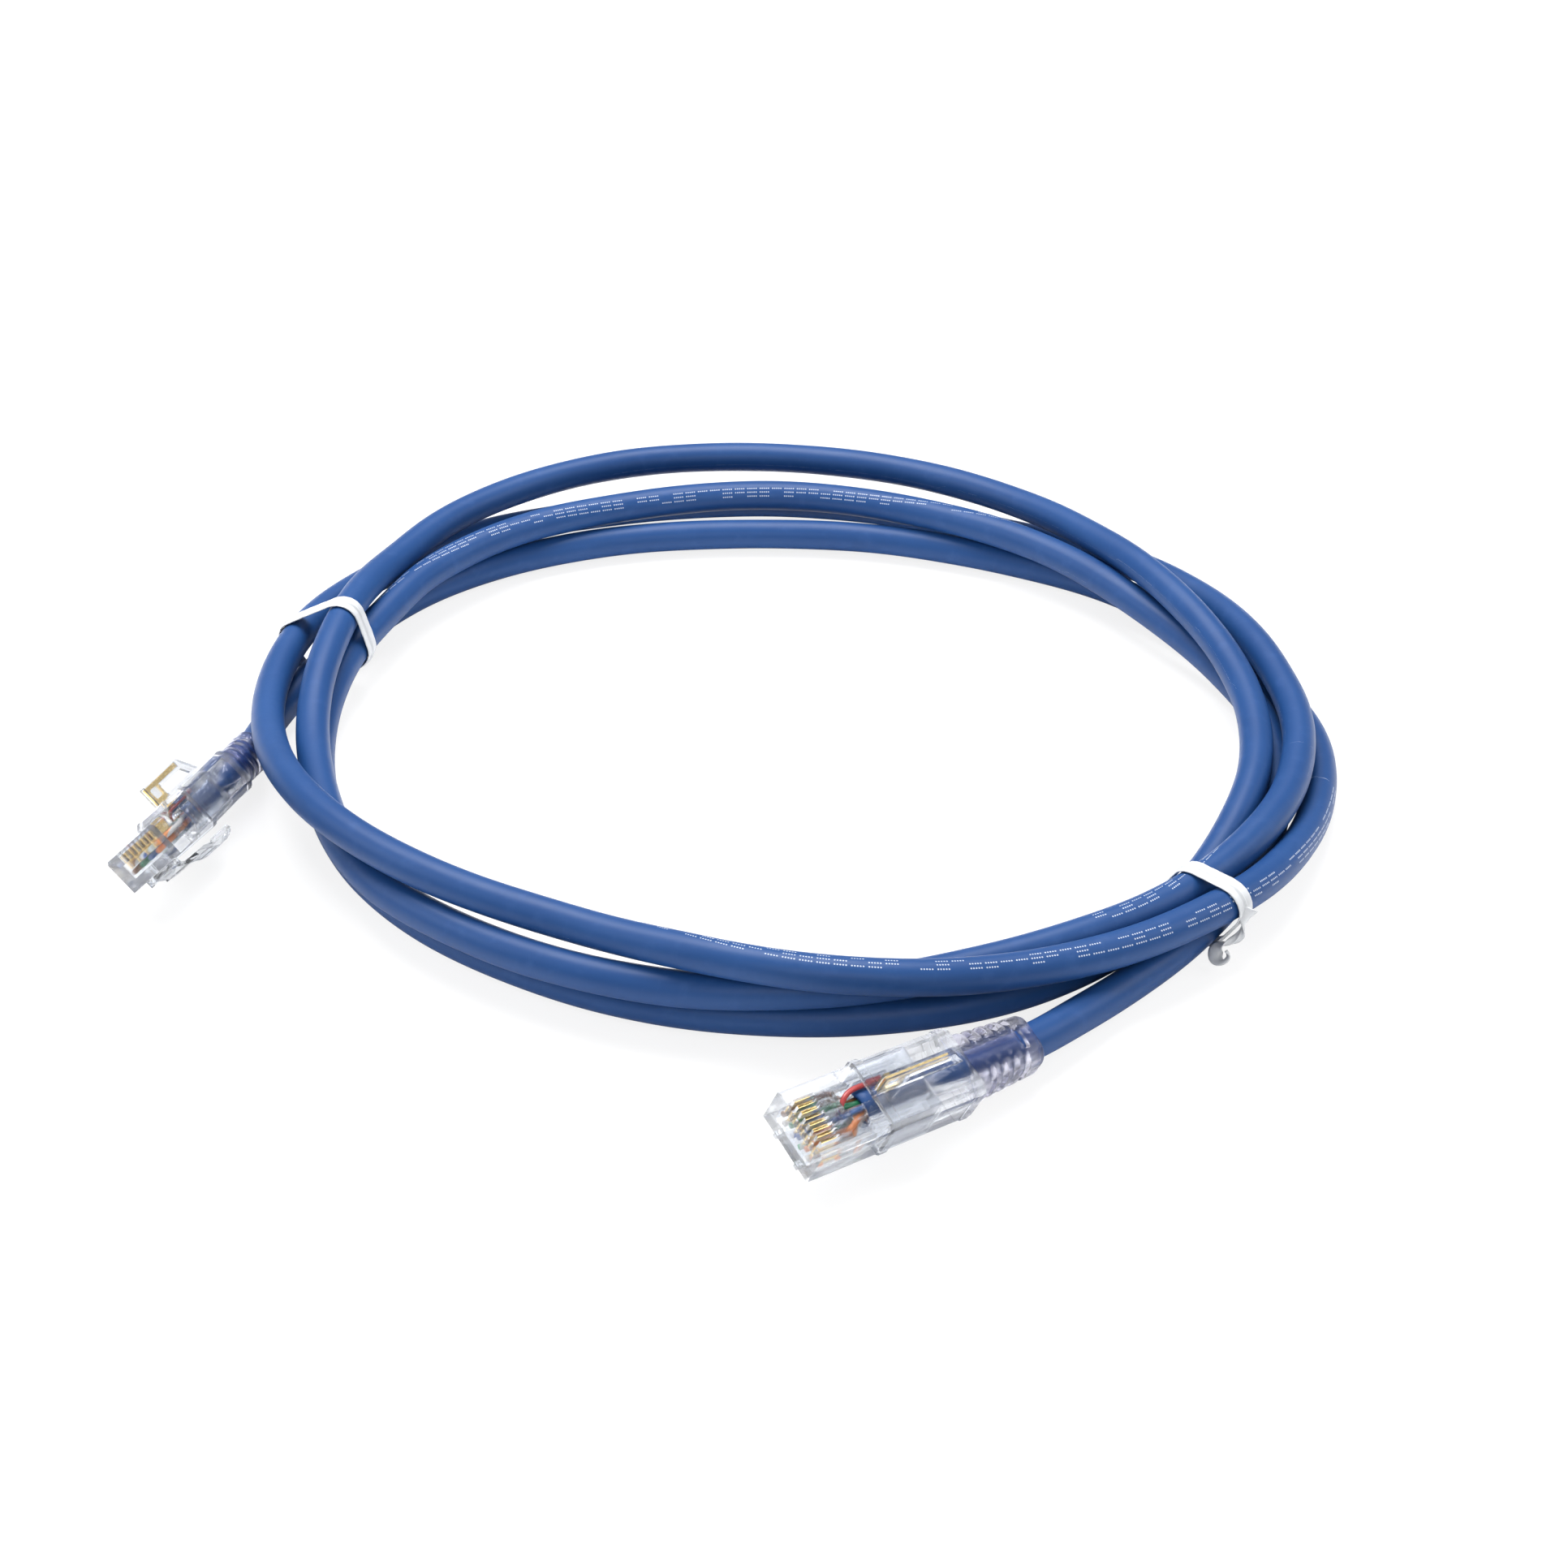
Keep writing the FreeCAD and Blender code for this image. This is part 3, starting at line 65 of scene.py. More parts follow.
CAD_BOX = plain_box(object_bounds())
ROOT = "cable_and_plugs"
MM = 0.001
SHIFT = np.array([6.139, 0.245, 0.668])   # from the measured places to the frame's origin
UP = np.array([0, 0, 1.0])

JACKET_RADIUS, JACKET_BORE = 2.9, 2.2     # both radii
CABLE_HEIGHT = -2.55                      # z of the cable's axis in a plug's frame

CAMERA_DISTANCE = 478.0
CAMERA_ELEVATION = math.radians(33.0)
CAMERA_PLACE = SHIFT + np.array([0, -CAMERA_DISTANCE * math.cos(CAMERA_ELEVATION),
                                 CAMERA_DISTANCE * math.sin(CAMERA_ELEVATION)])

# centre line of the cable between the plugs: x, y, z before SHIFT
CABLE_PATH = [
    (35.59, -78.34, 4.67), (43.00, -71.32, 3.73), (50.45, -63.91, 3.05), (57.84, -56.34, 2.90),
    (64.63, -48.38, 2.90), (70.68, -39.88, 2.91), (75.92, -30.77, 2.90), (80.16, -21.05, 2.90),
    (82.96, -10.98, 2.90), (84.81, -0.72, 2.90), (85.61, 9.63, 2.96), (84.10, 19.78, 3.32),
    (80.23, 29.46, 4.25), (75.02, 38.59, 5.62), (68.97, 47.20, 6.88), (62.58, 55.42, 7.90),
    (56.15, 63.35, 8.48), (49.05, 70.53, 8.72), (40.87, 76.81, 8.89), (31.91, 82.48, 8.72),
    (22.41, 87.25, 8.49), (12.45, 90.68, 8.43), (2.16, 92.55, 8.44), (-8.27, 92.79, 8.43),
    (-18.63, 91.48, 8.36), (-28.78, 88.86, 8.33), (-38.66, 85.02, 8.47), (-47.93, 79.83, 8.78),
    (-56.17, 73.32, 8.90), (-63.28, 65.78, 8.78), (-68.91, 57.05, 8.77), (-72.94, 47.61, 8.51),
    (-76.41, 38.46, 8.14), (-79.25, 28.63, 7.51), (-81.06, 18.32, 5.70), (-81.26, 8.02, 3.79),
    (-79.97, -2.30, 2.99), (-77.41, -12.58, 2.90), (-73.58, -22.38, 2.90), (-68.64, -31.46, 2.90),
    (-62.47, -39.72, 2.90), (-55.07, -47.08, 2.90), (-46.76, -53.47, 2.90), (-37.80, -58.91, 2.90),
    (-28.39, -63.48, 2.90), (-18.52, -66.84, 2.90), (-8.27, -68.83, 2.90), (2.14, -69.67, 2.90),
    (12.59, -69.22, 2.90), (22.90, -67.57, 2.90), (32.83, -64.45, 2.90), (42.11, -59.72, 2.90),
    (50.49, -53.44, 2.90), (57.90, -46.10, 2.90), (64.38, -38.03, 3.18), (69.97, -29.58, 4.38),
    (74.76, -20.85, 6.06), (78.63, -11.33, 7.39), (80.96, -0.81, 8.23), (81.50, 9.87, 9.03),
    (80.39, 20.27, 9.90), (77.88, 30.25, 10.98), (74.19, 39.79, 12.04), (69.77, 49.26, 12.72),
    (64.84, 58.80, 12.65), (59.32, 67.91, 12.12), (53.35, 76.55, 11.51), (46.58, 84.45, 10.85),
    (38.77, 91.36, 10.44), (29.98, 97.07, 10.25), (20.49, 101.50, 10.11), (10.50, 104.64, 10.00),
    (0.18, 106.49, 9.97), (-10.27, 107.00, 9.99), (-20.70, 106.10, 10.08),
    (-30.86, 103.63, 10.24), (-40.45, 99.53, 10.39), (-49.24, 93.90, 10.57),
    (-57.03, 86.96, 10.84), (-63.68, 78.97, 11.11), (-68.95, 70.21, 11.28),
    (-73.05, 60.82, 11.63), (-76.46, 50.61, 12.70), (-78.76, 39.67, 13.81),
    (-80.31, 29.20, 13.75), (-81.41, 19.13, 12.64), (-81.62, 8.98, 10.89), (-80.52, -1.34, 9.49),
    (-78.25, -11.73, 9.03), (-75.30, -21.82, 8.88), (-71.41, -31.35, 8.50), (-66.00, -40.08, 8.21),
    (-58.80, -47.79, 8.22), (-50.48, -54.44, 8.32), (-41.62, -60.13, 8.36), (-32.19, -64.79, 8.49),
    (-22.32, -68.29, 8.64), (-12.13, -70.39, 8.73), (-1.74, -70.88, 8.96), (8.66, -70.16, 9.07),
    (18.85, -68.00, 9.08), (28.75, -64.54, 8.98), (38.43, -60.59, 9.03), (47.80, -56.00, 9.12),
    (56.66, -50.23, 8.91), (64.73, -43.40, 8.83), (71.76, -35.84, 9.00), (77.88, -27.54, 9.13),
    (82.97, -18.24, 8.95), (86.55, -8.23, 8.81), (88.59, 2.03, 8.74), (88.95, 12.23, 8.75),
    (87.81, 22.05, 8.86), (85.84, 31.63, 9.00), (82.97, 41.71, 8.48), (78.73, 51.88, 7.50),
    (73.21, 61.25, 6.62), (66.49, 69.47, 5.73), (58.83, 76.62, 4.62), (50.42, 82.85, 3.65),
    (41.39, 88.18, 3.09), (31.89, 92.62, 2.91), (22.03, 96.18, 2.90), (11.88, 98.78, 2.92),
    (1.52, 100.24, 2.93), (-8.93, 100.50, 2.93), (-19.35, 99.60, 2.91), (-29.67, 97.72, 2.90),
    (-39.86, 94.98, 2.90), (-49.69, 91.23, 3.13), (-58.52, 86.02, 3.69), (-66.00, 79.17, 4.27),
    (-72.66, 71.12, 5.13), (-78.33, 62.30, 6.28), (-82.90, 52.92, 7.50), (-86.57, 43.12, 8.51),
    (-89.02, 33.02, 9.14), (-90.11, 22.71, 9.48), (-90.03, 12.31, 9.84), (-88.61, 1.98, 10.52),
    (-85.90, -8.12, 11.68), (-82.00, -17.83, 13.12), (-76.95, -26.94, 14.22),
    (-70.49, -35.14, 14.54), (-62.73, -42.27, 14.32), (-54.26, -48.27, 13.94),
    (-45.24, -53.30, 13.53), (-35.81, -57.94, 13.33), (-26.15, -62.70, 13.53),
    (-16.35, -67.63, 14.45), (-6.40, -71.62, 14.96), (3.78, -73.37, 14.43),
    (14.08, -73.44, 13.60), (24.10, -71.86, 12.39), (33.96, -68.79, 11.12),
    (43.73, -64.92, 10.26), (53.22, -59.97, 9.56), (62.07, -53.84, 9.00), (69.95, -47.04, 8.41),
    (76.52, -39.47, 7.21), (82.05, -30.73, 5.72), (86.74, -21.05, 4.21), (90.28, -10.97, 3.24),
    (92.36, -0.74, 2.91), (92.68, 9.54, 2.91), (90.77, 19.74, 2.91), (86.96, 29.69, 2.90),
    (81.98, 39.05, 2.90), (76.55, 47.83, 2.90), (70.61, 56.12, 2.96), (63.39, 63.53, 3.00),
    (54.93, 69.77, 2.95), (45.73, 74.88, 2.90), (36.14, 79.13, 2.90), (26.26, 82.62, 2.95),
    (16.10, 85.10, 2.96), (5.70, 86.48, 2.92), (-4.78, 86.90, 2.90), (-15.28, 86.55, 2.90),
    (-25.69, 85.33, 2.93), (-35.90, 83.00, 2.94), (-45.72, 79.42, 2.91), (-55.01, 74.61, 2.90),
    (-63.48, 68.48, 2.93), (-70.76, 61.02, 2.93), (-76.70, 52.48, 2.91), (-81.37, 43.20, 2.90),
    (-85.33, 33.51, 2.90), (-88.86, 23.58, 2.97), (-91.39, 13.43, 3.17), (-93.09, 3.18, 3.91),
]


class Plug:
    """A plug's frame: x across, y along toward the cable, z up."""

    def __init__(self, at, across, along, up):
        self.origin = np.array(at) + SHIFT
        self.axes = np.array([across, along, up])

    def place(self, points):
        return self.origin + np.asarray(points, float) @ self.axes


PLUGS = {
    "a": Plug(at=(2.065, -105.963, 12.104),
              across=(0.5247601, -0.7468196, -0.4085185),
              along=(0.7815355, 0.612885, -0.1165085),
              up=(0.3373857, -0.2581327, 0.9052836)),
    "b": Plug(at=(-103.606, -38.597, 13.206),
              across=(0.7193497, -0.0266283, 0.6941375),
              along=(0.2004022, 0.9647331, -0.1706724),
              up=(-0.6651127, 0.2618798, 0.6993169)),
}


# ------------------------------------------------------------------ geometry
def natural_spline(points, count):
    """Natural cubic spline through the points: count places and their run from the start."""
    points = np.asarray(points, float)
    n = len(points)
    knots = np.concatenate([[0], np.cumsum(np.linalg.norm(np.diff(points, axis=0), axis=1))])
    step = np.diff(knots)
    matrix = np.zeros((n, n))
    right = np.zeros((n, 3))
    matrix[0, 0] = matrix[-1, -1] = 1
    for i in range(1, n - 1):
        matrix[i, i - 1:i + 2] = step[i - 1], 2 * (step[i - 1] + step[i]), step[i]
        right[i] = 6 * ((points[i + 1] - points[i]) / step[i]
                        - (points[i] - points[i - 1]) / step[i - 1])
    bend = np.linalg.solve(matrix, right)
    run = np.linspace(0, knots[-1], count)
    k = np.clip(np.searchsorted(knots, run) - 1, 0, n - 2)
    ahead = (knots[k + 1] - run)[:, None]
    behind = (run - knots[k])[:, None]
    span = step[k][:, None]
    out = (bend[k] * ahead ** 3 + bend[k + 1] * behind ** 3) / (6 * span)
    out += (points[k] / span - bend[k] * span / 6) * ahead
    out += (points[k + 1] / span - bend[k + 1] * span / 6) * behind
    return out, run


def sweep_frames(path, first_side):
    """Tangent and two side directions at each place, turning as little as possible."""
    tangent = np.gradient(path, axis=0)
    tangent /= np.linalg.norm(tangent, axis=1)[:, None]
    sides = []
    side = first_side
    for direction in tangent:
        side = side - direction * (side @ direction)
        side = side / np.linalg.norm(side)
        sides.append(side)
    sides = np.array(sides)
    return tangent, sides, np.cross(sides, tangent)


def tube_points(path, side, other, radius, angles):
    across = side[:, None, :] * (np.cos(angles) * radius)[:, :, None]
    return (path[:, None, :] + across
            + other[:, None, :] * (np.sin(angles) * radius)[:, :, None]).reshape(-1, 3)


def sweep_faces(rings, size, closed=False):
    """Quads joining rings of size points; closed joins the last ring to the first."""
    faces = []
    for k in range(rings if closed else rings - 1):
        near, far = k * size, (k + 1) % rings * size
        for i in range(size):
            j = (i + 1) % size
            faces.append((near + i, near + j, far + j, far + i))
    return faces


def inside_out(face, offset):
    """The same face on the inner skin, turned the other way."""
    return tuple(offset + i for i in face[::-1])


def end_faces(rings, size):
    """Join outer and inner skins of a hollow sweep at its two ends."""
    inner = rings * size
    faces = []
    for i in range(size):
        j = (i + 1) % size
        for ring in (0, inner - size):
            faces.append((ring + i, ring + j, inner + ring + j, inner + ring + i))
    return faces


def new_mesh(name, verts, faces, material):
    mesh = bpy.data.meshes.new(name)
    mesh.from_pydata([tuple(v) for v in (np.asarray(verts, float) * MM)], [], faces)
    mesh.validate()
    ob = bpy.data.objects.new(name, mesh)
    bpy.context.scene.collection.objects.link(ob)
    mesh.materials.append(material)
    mesh.polygons.foreach_set("use_smooth", [True] * len(mesh.polygons))
    bm = bmesh.new()
    bm.from_mesh(mesh)
    loose = [v for v in bm.verts if not v.link_faces]
    bmesh.ops.delete(bm, geom=loose, context="VERTS")
    bmesh.ops.recalc_face_normals(bm, faces=bm.faces)
    bm.to_mesh(mesh)
    bm.free()
    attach(ob, ROOT)
    return ob


def point_attribute(ob, name, values):
    attribute = ob.data.attributes.new(name, "FLOAT", "POINT")
    attribute.data.foreach_set("value", np.asarray(values, np.float32))


# ----------------------------------------------------------------- materials
class Shader:
    """A node tree with short calls. Inputs take a value, or a socket to link from."""

    def __init__(self, tree):
        self.tree = tree

    def feed(self, socket, value):
        if isinstance(value, bpy.types.NodeSocket):
            self.tree.links.new(value, socket)
            return
        if isinstance(value, tuple) and len(value) < len(socket.default_value):
            value = (*value, 1.0)         # opaque colour
        socket.default_value = value

    def node(self, kind, inputs=None, **settings):
        made = self.tree.nodes.new("ShaderNode" + kind)
        for key, value in settings.items():
            setattr(made, key, value)
        for key, value in (inputs or {}).items():
            if value is not None:
                self.feed(made.inputs[key], value)
        return made

    def math(self, operation, a, b=None, clamp=False):
        return self.node("Math", {0: a, 1: b}, operation=operation, use_clamp=clamp).outputs[0]

    def mix_color(self, factor, a, b):
        return self.node("Mix", {0: factor, 6: a, 7: b}, data_type="RGBA").outputs[2]

    def mix_float(self, factor, a, b):
        return self.node("Mix", {0: factor, 2: a, 3: b}, data_type="FLOAT").outputs[0]

    def mix_shader(self, factor, a, b):
        return self.node("MixShader", {0: factor, 1: a, 2: b}).outputs[0]

    def object_place(self):
        return self.node("TexCoord").outputs["Object"]

    def noise(self, scale, detail=2.0, roughness=0.5):
        return self.node("TexNoise", {"Scale": scale, "Detail": detail, "Roughness": roughness,
                                      "Vector": self.object_place()}).outputs["Fac"]

    def remap(self, value, low, high, from_low=0.0, from_high=1.0):
        return self.node("MapRange", {"Value": value, "From Min": from_low, "From Max": from_high,
                                      "To Min": low, "To Max": high}).outputs[0]

    def bump(self, height, strength, distance, normal=None):
        return self.node("Bump", {"Strength": strength, "Distance": distance,
                                  "Height": height, "Normal": normal}).outputs["Normal"]

    def principled(self, inputs):
        return self.node("BsdfPrincipled", inputs).outputs[0]

    def transparent(self, color):
        return self.node("BsdfTransparent", {0: color}).outputs[0]

    def surface(self, shader):
        self.node("OutputMaterial", {"Surface": shader})


def new_material(name):
    material = bpy.data.materials.new(name)
    material.use_nodes = True
    material.node_tree.nodes.clear()
    return material, Shader(material.node_tree)


def ink_mask(shader):
    """Three rows of dots broken into bars: plain marks and not characters."""
    math_ = shader.math
    dot_pitch, row_pitch = 0.42, 0.80     # along and round the cable, mm
    bar_dots = 6.0                        # dot pitches in a bar
    run = shader.node("Attribute", attribute_name="run").outputs["Fac"]
    lap = shader.node("Attribute", attribute_name="lap").outputs["Fac"]
    u = math_("DIVIDE", run, dot_pitch)
    v = math_("DIVIDE", lap, row_pitch)
    # place inside one dot's cell, both ways in dot pitches from its centre
    cell_u = math_("SUBTRACT", math_("FRACT", u), 0.5)
    cell_v = math_("SUBTRACT", math_("FRACT", math_("ADD", v, 0.5)), 0.5)
    cell_v = math_("MULTIPLY", cell_v, row_pitch / dot_pitch)
    distance2 = math_("ADD", math_("MULTIPLY", cell_u, cell_u), math_("MULTIPLY", cell_v, cell_v))
    dot = math_("LESS_THAN", distance2, 0.105)
    in_rows = math_("LESS_THAN", math_("ABSOLUTE", v), 1.5)
    # each bar of each row is inked or left out at random
    row = math_("FLOOR", math_("ADD", v, 0.5))
    bar = math_("FLOOR", math_("DIVIDE", u, bar_dots))
    cell = shader.node("CombineXYZ", {0: bar, 1: row}).outputs[0]
    chance = shader.node("TexWhiteNoise", {"Vector": cell}).outputs["Value"]
    inked = math_("GREATER_THAN", chance, 0.28)
    past_gap = math_("GREATER_THAN", math_("FRACT", math_("DIVIDE", u, bar_dots)), 0.17)
    # the legend starts at 195 mm, repeats every 457 mm and fills 0.37 of that
    repeat = math_("DIVIDE", math_("SUBTRACT", run, 195.0), 457.0)
    in_legend = math_("LESS_THAN", math_("FRACT", repeat), 0.37)
    placed = math_("MULTIPLY", math_("MULTIPLY", in_rows, in_legend), past_gap)
    ink = math_("MULTIPLY", math_("MULTIPLY", dot, inked), placed)
    return math_("MULTIPLY", ink, 0.62)   # strength of the ink


def jacket_material():
    material, shader = new_material("blue_vinyl")
    broad = shader.noise(scale=45.0, detail=3.0)
    medium = shader.noise(scale=380.0, detail=3.0)
    fine = shader.noise(scale=3200.0, roughness=0.6)
    patches = shader.remap(broad, low=0.0, high=1.0, from_low=0.3, from_high=0.7)
    base = shader.mix_color(patches, (0.0075, 0.0400, 0.140), (0.0110, 0.0495, 0.163))
    scuff = shader.math("SUBTRACT", medium, 0.55, clamp=True)
    scuff = shader.math("MULTIPLY", scuff, 0.9, clamp=True)
    base = shader.mix_color(scuff, base, (0.035, 0.085, 0.235))
    base = shader.mix_color(ink_mask(shader), base, (0.50, 0.55, 0.62))
    relief = shader.bump(medium, strength=0.10, distance=0.00012)
    shader.surface(shader.principled({
        "Base Color": base,
        "Roughness": shader.remap(medium, low=0.40, high=0.52),
        "Specular IOR Level": 0.21,
        "Sheen Weight": 0.0,
        "Sheen Roughness": 0.4,
        "Subsurface Weight": 0.04,
        "Subsurface Radius": (0.0004, 0.0006, 0.0012),
        "Normal": shader.bump(fine, strength=0.12, distance=0.00003, normal=relief),
    }))
    return material


def clear_material(name, tint, haze, ior, seethrough, grain=700.0):
    """Clear moulding: refraction, a share of straight-through light, soft bright edges."""
    material, shader = new_material(name)
    lines = shader.noise(scale=grain)
    relief = shader.bump(lines, strength=0.18, distance=0.00006)
    glass = shader.principled({
        "Transmission Weight": 1.0,
        "IOR": ior,
        "Base Color": tint,
        "Roughness": shader.remap(lines, low=haze * 0.6, high=haze * 1.6),
        "Normal": relief,
    })
    straight = shader.transparent(tuple(min(1.0, 0.5 + 0.5 * c) for c in tint))
    facing = shader.node("LayerWeight", {"Blend": 0.35, "Normal": relief}).outputs["Facing"]
    edge = shader.math("MULTIPLY", shader.math("MULTIPLY", facing, 1.0), 0.75)
    share = shader.math("ADD", edge, 1.0 - seethrough, clamp=True)
    seen = shader.mix_shader(share, straight, glass)
    # shadow and diffuse rays pass straight through, tinted and dimmed
    rays = shader.node("LightPath").outputs
    passing = shader.math("MAXIMUM", rays["Is Shadow Ray"], rays["Is Diffuse Ray"])
    dimmed = shader.transparent(tuple(0.78 * c for c in tint))
    shader.surface(shader.mix_shader(passing, seen, dimmed))
    return material


def gold_material():
    material, shader = new_material("gold_plate")
    grain = shader.noise(scale=2600.0, detail=3.0)
    shader.surface(shader.principled({
        "Base Color": shader.mix_color(grain, (0.86, 0.60, 0.22), (0.95, 0.74, 0.36)),
        "Metallic": 1.0,
        "Roughness": shader.remap(grain, low=0.16, high=0.34),
        "Normal": shader.bump(grain, strength=0.08, distance=0.00003),
    }))
    return material


def wire_material(name, color, stripe=None):
    material, shader = new_material(name)
    grain = shader.noise(scale=900.0)
    base = shader.mix_color(grain, tuple(c * 0.82 for c in color), color)
    if stripe is not None:
        wave = shader.node("TexWave", {"Scale": 130.0, "Distortion": 1.2,
                                       "Vector": shader.object_place()}).outputs["Fac"]
        base = shader.mix_color(shader.math("GREATER_THAN", wave, 0.72), base, stripe)
    shader.surface(shader.principled({
        "Base Color": base,
        "Roughness": 0.34,
        "Normal": shader.bump(grain, strength=0.06, distance=0.00003),
    }))
    return material


def tie_material():
    material, shader = new_material("white_ribbon")
    broad = shader.noise(scale=420.0, detail=4.0, roughness=0.6)
    fine = shader.noise(scale=2600.0)
    relief = shader.bump(broad, strength=0.35, distance=0.0002)
    shader.surface(shader.principled({
        "Base Color": shader.mix_color(broad, (0.42, 0.435, 0.455), (0.53, 0.54, 0.555)),
        "Roughness": shader.remap(broad, low=0.30, high=0.5),
        "Subsurface Weight": 0.15,
        "Subsurface Radius": (0.001, 0.001, 0.001),
        "Normal": shader.bump(fine, strength=0.15, distance=0.00005, normal=relief),
    }))
    return material


JACKET_BLUE = jacket_material()
CLEAR_BODY = clear_material("clear_moulding", tint=(0.93, 0.95, 0.98), haze=0.012, ior=1.45,
                            seethrough=0.50)
CLEAR_HOUSING = clear_material("clear_housing", tint=(0.93, 0.95, 0.985), haze=0.018, ior=1.43,
                               seethrough=0.55)
CLEAR_LATCH = clear_material("clear_arm", tint=(0.92, 0.94, 0.97), haze=0.015, ior=1.47,
                             seethrough=0.40)
MILKY_BOOT = clear_material("milky_vinyl", tint=(0.80, 0.80, 0.91), haze=0.13, ior=1.36,
                            seethrough=0.42, grain=420.0)
CLEAR_BAR = clear_material("clear_bar", tint=(0.92, 0.94, 0.97), haze=0.06, ior=1.35,
                           seethrough=0.7)
GOLD = gold_material()
TIE_WHITE = tie_material()

# wire: colour, and stripe colour where it has one
WIRE_COLORS = {
    "brown": [(0.20, 0.085, 0.035)],
    "white_brown": [(0.74, 0.71, 0.67), (0.24, 0.11, 0.05)],
    "green": [(0.02, 0.20, 0.09)],
    "white_blue": [(0.74, 0.76, 0.80), (0.05, 0.14, 0.50)],
    "blue": [(0.02, 0.085, 0.27)],
    "white_green": [(0.72, 0.77, 0.73), (0.02, 0.32, 0.12)],
    "orange": [(0.68, 0.20, 0.04)],
    "white_orange": [(0.80, 0.74, 0.68), (0.80, 0.26, 0.04)],
    "sense_red": [(0.33, 0.030, 0.030)],
}
WIRE_MATERIALS = {wire: wire_material(wire.removeprefix("sense_") + "_insulation", *colors)
                  for wire, colors in WIRE_COLORS.items()}


# ----------------------------------------------------------------- CAD parts
def dress(node, material):
    """Give a CAD part its one material and weld its doubled points."""
    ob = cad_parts[node]
    ob.data.materials.clear()
    ob.data.materials.append(material)
    ob.modifiers.new("weld", "WELD").merge_threshold = 1e-6
    return ob


def soften_edges(ob, width):
    planar = ob.modifiers.new("planar", "DECIMATE")
    planar.decimate_type = "DISSOLVE"
    planar.angle_limit = math.radians(1.0)
    bevel = ob.modifiers.new("soft_edges", "BEVEL")
    bevel.width = width * MM
    bevel.segments = 2
    bevel.limit_method = "ANGLE"
    bevel.angle_limit = math.radians(35)
    bevel.use_clamp_overlap = True
    bevel.harden_normals = False


# part, material, bevel width
PLUG_PARTS = [
    ("plug_body_", CLEAR_BODY, 0.10),
    ("rear_housing_", CLEAR_HOUSING, 0.14),
    ("latch_", CLEAR_LATCH, 0.12),
    ("load_bar_", CLEAR_BAR, 0.05),
    ("contacts_", GOLD, 0.06),
    ("sense_contact_", GOLD, 0.05),
]
for end in PLUGS:
    for part, material, width in PLUG_PARTS:
        soften_edges(dress(part + end, material), width)

for wire, material in WIRE_MATERIALS.items():
    ob = dress("wire_" + wire, material)
    polygons = ob.data.polygons
    # the heaviest wires are thinned the most
    ob.modifiers.new("lighter", "DECIMATE").ratio = 0.4 if len(polygons) > 120000 else 0.9
    polygons.foreach_set("use_smooth", [True] * len(polygons))

# -------------------------------------------------------------------- jacket
PLUG_STATIONS = (11.35, 16.0, 22.0, 28.0, 32.0, 36.0, 40.0)   # y on the axis in a plug's frame
JACKET_RINGS, JACKET_SIDES = 1500, 30

# The ink line wanders slowly round the cable. Columns: run along the cable, and the
# line's angle from the side that faces the camera, toward the top.
INK_ANGLES = [
    (0, 3.1), (205, 2.3), (240, 0.35), (291, 0.15), (340, 0.75), (380, 2.2), (560, 2.6),
    (1060, 2.6), (1108, 0.7), (1126, 0.6), (1150, 2.2), (1570, 2.3), (1603, 0.95), (1643, 0.6),
    (1682, -0.05), (1706, -0.45), (1745, -1.6), (1900, -3.0), (2100, -3.1),
]
SMOOTHING_RINGS = 31
OFF_INK = 50.0                            # lap of the bore, clear of the ink rows


def ink_lap(path, run, tangent, side, other, angles):
    """Distance round the skin from the ink line, for every outer point."""
    front = CAMERA_PLACE - path
    front -= tangent * (front * tangent).sum(1)[:, None]
    front /= np.linalg.norm(front, axis=1)[:, None]
    top = np.cross(tangent, front)
    top *= np.where(top[:, 2] < 0, -1, 1)[:, None]
    wander = np.interp(run, *zip(*INK_ANGLES))
    kernel = np.hanning(SMOOTHING_RINGS)
    kernel /= kernel.sum()
    wander = np.convolve(np.pad(wander, SMOOTHING_RINGS // 2, mode="edge"), kernel, mode="valid")
    line = front * np.cos(wander)[:, None] + top * np.sin(wander)[:, None]
    phase = np.arctan2((line * other).sum(1), (line * side).sum(1))
    turn = np.mod(angles[None, :] - phase[:, None] + np.pi, 2 * np.pi) - np.pi
    return turn * JACKET_RADIUS


def build_jacket():
    stations = [PLUGS["a"].place((0, y, CABLE_HEIGHT)) for y in PLUG_STATIONS]
    stations += [np.array(p) + SHIFT for p in CABLE_PATH]
    stations += [PLUGS["b"].place((0, y, CABLE_HEIGHT)) for y in PLUG_STATIONS[::-1]]
    path, run = natural_spline(stations, JACKET_RINGS)
    tangent, side, other = sweep_frames(path, PLUGS["a"].axes[0])
    angles = np.linspace(0, 2 * np.pi, JACKET_SIDES, endpoint=False)
    # the bundle inside leaves a very slight long wave on the skin, always inward
    turns = 2 * np.pi * run[:, None]
    wave = 0.5 - 0.5 * np.cos(turns / 23.0 + 2 * angles)
    radius = JACKET_RADIUS - 0.035 * wave - 0.02 * (0.5 + 0.5 * np.sin(turns / 61.0 + angles))
    outer = tube_points(path, side, other, radius, angles)
    bore = np.full(radius.shape, JACKET_BORE)
    inner = tube_points(path, side, other, bore, angles)
    skin = sweep_faces(JACKET_RINGS, JACKET_SIDES)
    faces = skin + [inside_out(f, len(outer)) for f in skin]
    faces += end_faces(JACKET_RINGS, JACKET_SIDES)
    ob = new_mesh("jacket_skin", np.vstack([outer, inner]), faces, JACKET_BLUE)
    lap = ink_lap(path, run, tangent, side, other, angles)
    point_attribute(ob, "run", np.tile(np.repeat(run, JACKET_SIDES), 2))
    point_attribute(ob, "lap", np.concatenate([lap.ravel(), np.full(len(inner), OFF_INK)]))
    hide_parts("cable_jacket")


build_jacket()

